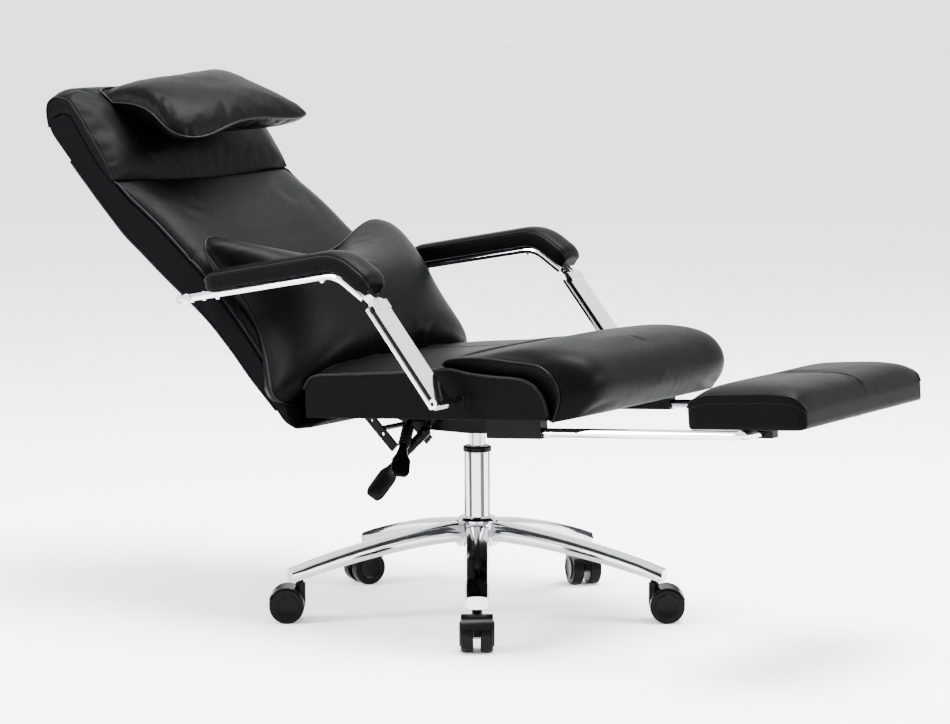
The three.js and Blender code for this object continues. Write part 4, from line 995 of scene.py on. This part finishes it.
def dressArm(name, side):
    title = name.title()
    lines = (evenly(16), evenly(80, *mirrored(0.995, 0.985, 0.97)), evenly(8))
    mesh, grid = gridBlock(lines, armPadPlace(side))
    bmesh.ops.recalc_face_normals(mesh, faces=mesh.faces)
    pad = meshObject("armPad" + title, mesh, finishes["leather"])
    smoothed(pad, 1)
    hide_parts("arm_pad_" + name)
    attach(pad, "arm_" + name)
    soft = {"piece": pad, "grid": grid}
    rows = []
    for edge in (-1, 1):
        tube(f"armPiping{title}{'Outer' if edge == side else 'Inner'}", seamLine(soft, {0: edge, 2: 1}),
             armPad["pipe"], "arm_" + name)
        rows.append(seamLine(soft, {0: edge, 2: armPad["stitchHeight"]}, stitch["rise"]))
    stitches("armStitches" + title, rows, "arm_" + name)

    seatPivot, linkPivot, elbow, armPivot = (
        inPlane(arm[key]) for key in ("seatPivot", "linkPivot", "elbow", "armPivot"))
    inner, outer = arm["halfWidth"] * linkTrim["inset"], arm["halfWidth"] + linkTrim["proud"]
    spine = arm["halfHeight"] - linkTrim["spineSunk"], arm["halfHeight"] + linkTrim["spineDepth"]
    bars = [  # ends, each as a pivot, the next one and the distance from it, half width, depths, finish and body
        ("linkSpine", (seatPivot, linkPivot, -0.003), (linkPivot, seatPivot, 0.003), inner, spine, "chrome", "link_"),
        ("linkGroove", (seatPivot, linkPivot, 0.009), (linkPivot, seatPivot, 0.005), outer, linkTrim["groove"],
         "black_plastic", "link_"),
        ("linkKnuckle", (linkPivot, seatPivot, 0.016), (linkPivot, seatPivot, -0.002), inner, linkTrim["knuckle"],
         "chrome", "link_"),
        ("armGroove", (linkPivot, elbow, arm["knuckle"] + 0.004), (elbow, linkPivot, 0.016), outer,
         linkTrim["armGroove"], "black_plastic", "arm_"),
    ]
    for word, start, end, halfWidth, depths, finish, body in bars:
        crossBar(word + title, toward(*start), toward(*end), side, halfWidth, depths, finish, body + name)
    across = Vector((side * (arm["centre"] + arm["halfWidth"]), 0, 0))
    tail, foot = toward(armPivot, elbow, -arm["tail"]), toward(seatPivot, linkPivot, linkTrim["eye"])
    for word, rows, spot, finish, body in (
            ("armEnd", armEnd, tail, "chrome", "arm_"), ("armHole", armHole, tail, "black_plastic", "arm_"),
            ("linkEye", linkEye, foot, "chrome", "link_"), ("linkBoltHead", boltHead, foot, "black_steel", "link_")):
        turnedPiece(word + title, rows, standing @ (across + spot), Vector((side, 0, 0)), finish, body + name)
    for word, share in armPad["screws"]:
        spot = armPivot.lerp(elbow, share) - Vector((0, 0, arm["halfHeight"]))
        sideways = Vector((side * arm["centre"] + side * armPad["screwOffset"], 0, 0))
        turnedPiece("padScrew" + title + word, padScrew, standing @ (spot + sideways), Vector((0, 0, -1)), "chrome",
                    "arm_" + name)


# Rings round the levers' necks, whose middle lines are given from the housing's side
leverRib = {"radius": {"height_lever": 0.0098, "recline_lever": 0.0086}, "rise": 0.001, "half": 0.0019,
            "pitch": 0.0052, "count": 9, "start": 0.008, "steps": 40}
leverLines = {"height_lever": [(-0.091, 0.087, -0.031), (-0.119, 0.076, -0.052), (-0.140, 0.070, -0.074),
                               (-0.170, 0.057, -0.111)],
              "recline_lever": [(-0.085, 0.048, -0.035), (-0.088, 0.069, -0.055), (-0.100, 0.089, -0.077),
                                (-0.145, 0.138, -0.154)]}


def dressLevers():
    rise, half = leverRib["rise"], leverRib["half"]
    for name, line in leverLines.items():
        radius = leverRib["radius"][name]
        ring = [(0, -half), (radius, -half), (radius + rise, -half / 2), (radius + rise, half / 2),
                (radius, half), (0, half)]
        curve = curveThrough([(i / (len(line) - 1), *point) for i, point in enumerate(line)])
        at, length = alongPath([Vector(curve(i / leverRib["steps"])) for i in range(leverRib["steps"] + 1)])
        for i in range(leverRib["count"]):
            spot, run = at((leverRib["start"] + i * leverRib["pitch"]) / length)
            turnedPiece(f"{name}Rib{i}", ring, seatFrame @ spot, (seatFrame.to_3x3() @ run).normalized(),
                        "black_plastic", name)


# Dished caps on the casters' wheels
wheelCap = [(0, 0.0004), (0.014, 0.0006), (0.0165, 0.0014), (0.0185, 0.0026), (0.0205, 0.0026), (0.0215, 0.0016),
            (0.0218, -0.001), (0, -0.001)]
wheelHalfWidth = 0.0105


def middleOf(name):
    low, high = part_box(name)
    return (low + high) / 2


def dressCasters():
    for index in range(1, 6):
        near, far = middleOf(f"caster_wheel_near_{index}"), middleOf(f"caster_wheel_far_{index}")
        apart = (near - far).normalized()
        for name, spot, way in (("Near", near, apart), ("Far", far, -apart)):
            turnedPiece(f"wheelCap{name}{index}", wheelCap, spot + way * wheelHalfWidth, way, "wheel_plastic",
                        f"wheels_{index}")


addFloor()
makeStudio()
dressNodes()
shellSoft = makeBackShell()
makeBackPads()
makePillows()
makeSeat()
makeFootPad()
print("soft pieces laid out")
blowUp()
softByName = {soft["piece"].name: soft for soft in softPieces}
seatSoft, rollSoft, footSoft = (softByName[name] for name in ("seatCushion", "frontRoll", "footPad"))
backSoft, headSoft = softByName["backPad"], softByName["headPad"]
upward = (backFrame.to_3x3() @ Vector((0, 0, 1))).normalized()
for pillow, bed in (("headPillow", (backSoft, headSoft)), ("lumbarPillow", (backSoft, seatSoft))):
    vertices = softByName[pillow]["piece"].data.vertices
    lifted = pushedUp([vert.co.copy() for vert in vertices], bed, upward, pillowEdge["clearance"])
    for vert, place in zip(vertices, lifted):
        vert.co = place
for soft in softPieces:
    smoothed(soft["piece"], 1)
    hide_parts(soft["node"])
    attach(soft["piece"], soft["body"])
print("soft pieces blown up")

for name, spec, body in (("headPillow", headPillow, "back"), ("lumbarPillow", lumbarPillow, "lumbar")):
    line = rim(pillowPlace(spec), pillowEdge["pipingSides"][name])
    tube(name + "Piping", pushedUp(line, (backSoft, headSoft), upward, spec["pipe"]), spec["pipe"], body,
         closed=True)

pipes = {"seat": 0.0029, "roll": 0.0017, "rear": 0.0022, "back": 0.0019, "head": 0.0012, "foot": 0.0013}
tube("seatPiping", seamLine(seatSoft, {0: -1, 2: 1}) + seamLine(seatSoft, {1: 1, 2: 1})[1:-1]
     + seamLine(seatSoft, {0: 1, 2: 1})[::-1], pipes["seat"], "seat")
for side, word in ((-1, "Right"), (1, "Left")):
    rearLine = seamLine(shellSoft, {0: side * back["sideLines"][0], 2: back["rearLine"]})
    for start, line, body in (("roll", seamLine(rollSoft, {0: side, 2: 1}), "seat"),
                              ("rear", rearLine[slice(*back["pipedRows"])], "back"),
                              ("back", seamLine(backSoft, {0: side, 2: 1}), "back"),
                              ("head", seamLine(headSoft, {0: side, 2: 1}), "back"),
                              ("foot", seamLine(footSoft, {0: side, 2: 1}), "footrest_pad")):
        tube(start + "Piping" + word, line, pipes[start], body)
for name, soft, lines, body in (
        ("headStitches", headSoft, ((headPad["stitchLine"], 1), (1, 0.5)), "back"),
        ("backStitches", backSoft, ((backPad["stitchLine"], 1),), "back"),
        ("footStitches", footSoft, ((footPad["stitchLine"], 1), (1, 0.5), (footPad["seamLines"][0], 1)),
         "footrest_pad")):
    stitches(name, [seamLine(soft, {0: side * share, 2: height}, stitch["rise"])
                    for side in (-1, 1) for share, height in lines], body)
for name, side in armSides.items():
    dressArm(name, side)
dressCasters()
dressLevers()
print("seams and trims laid")
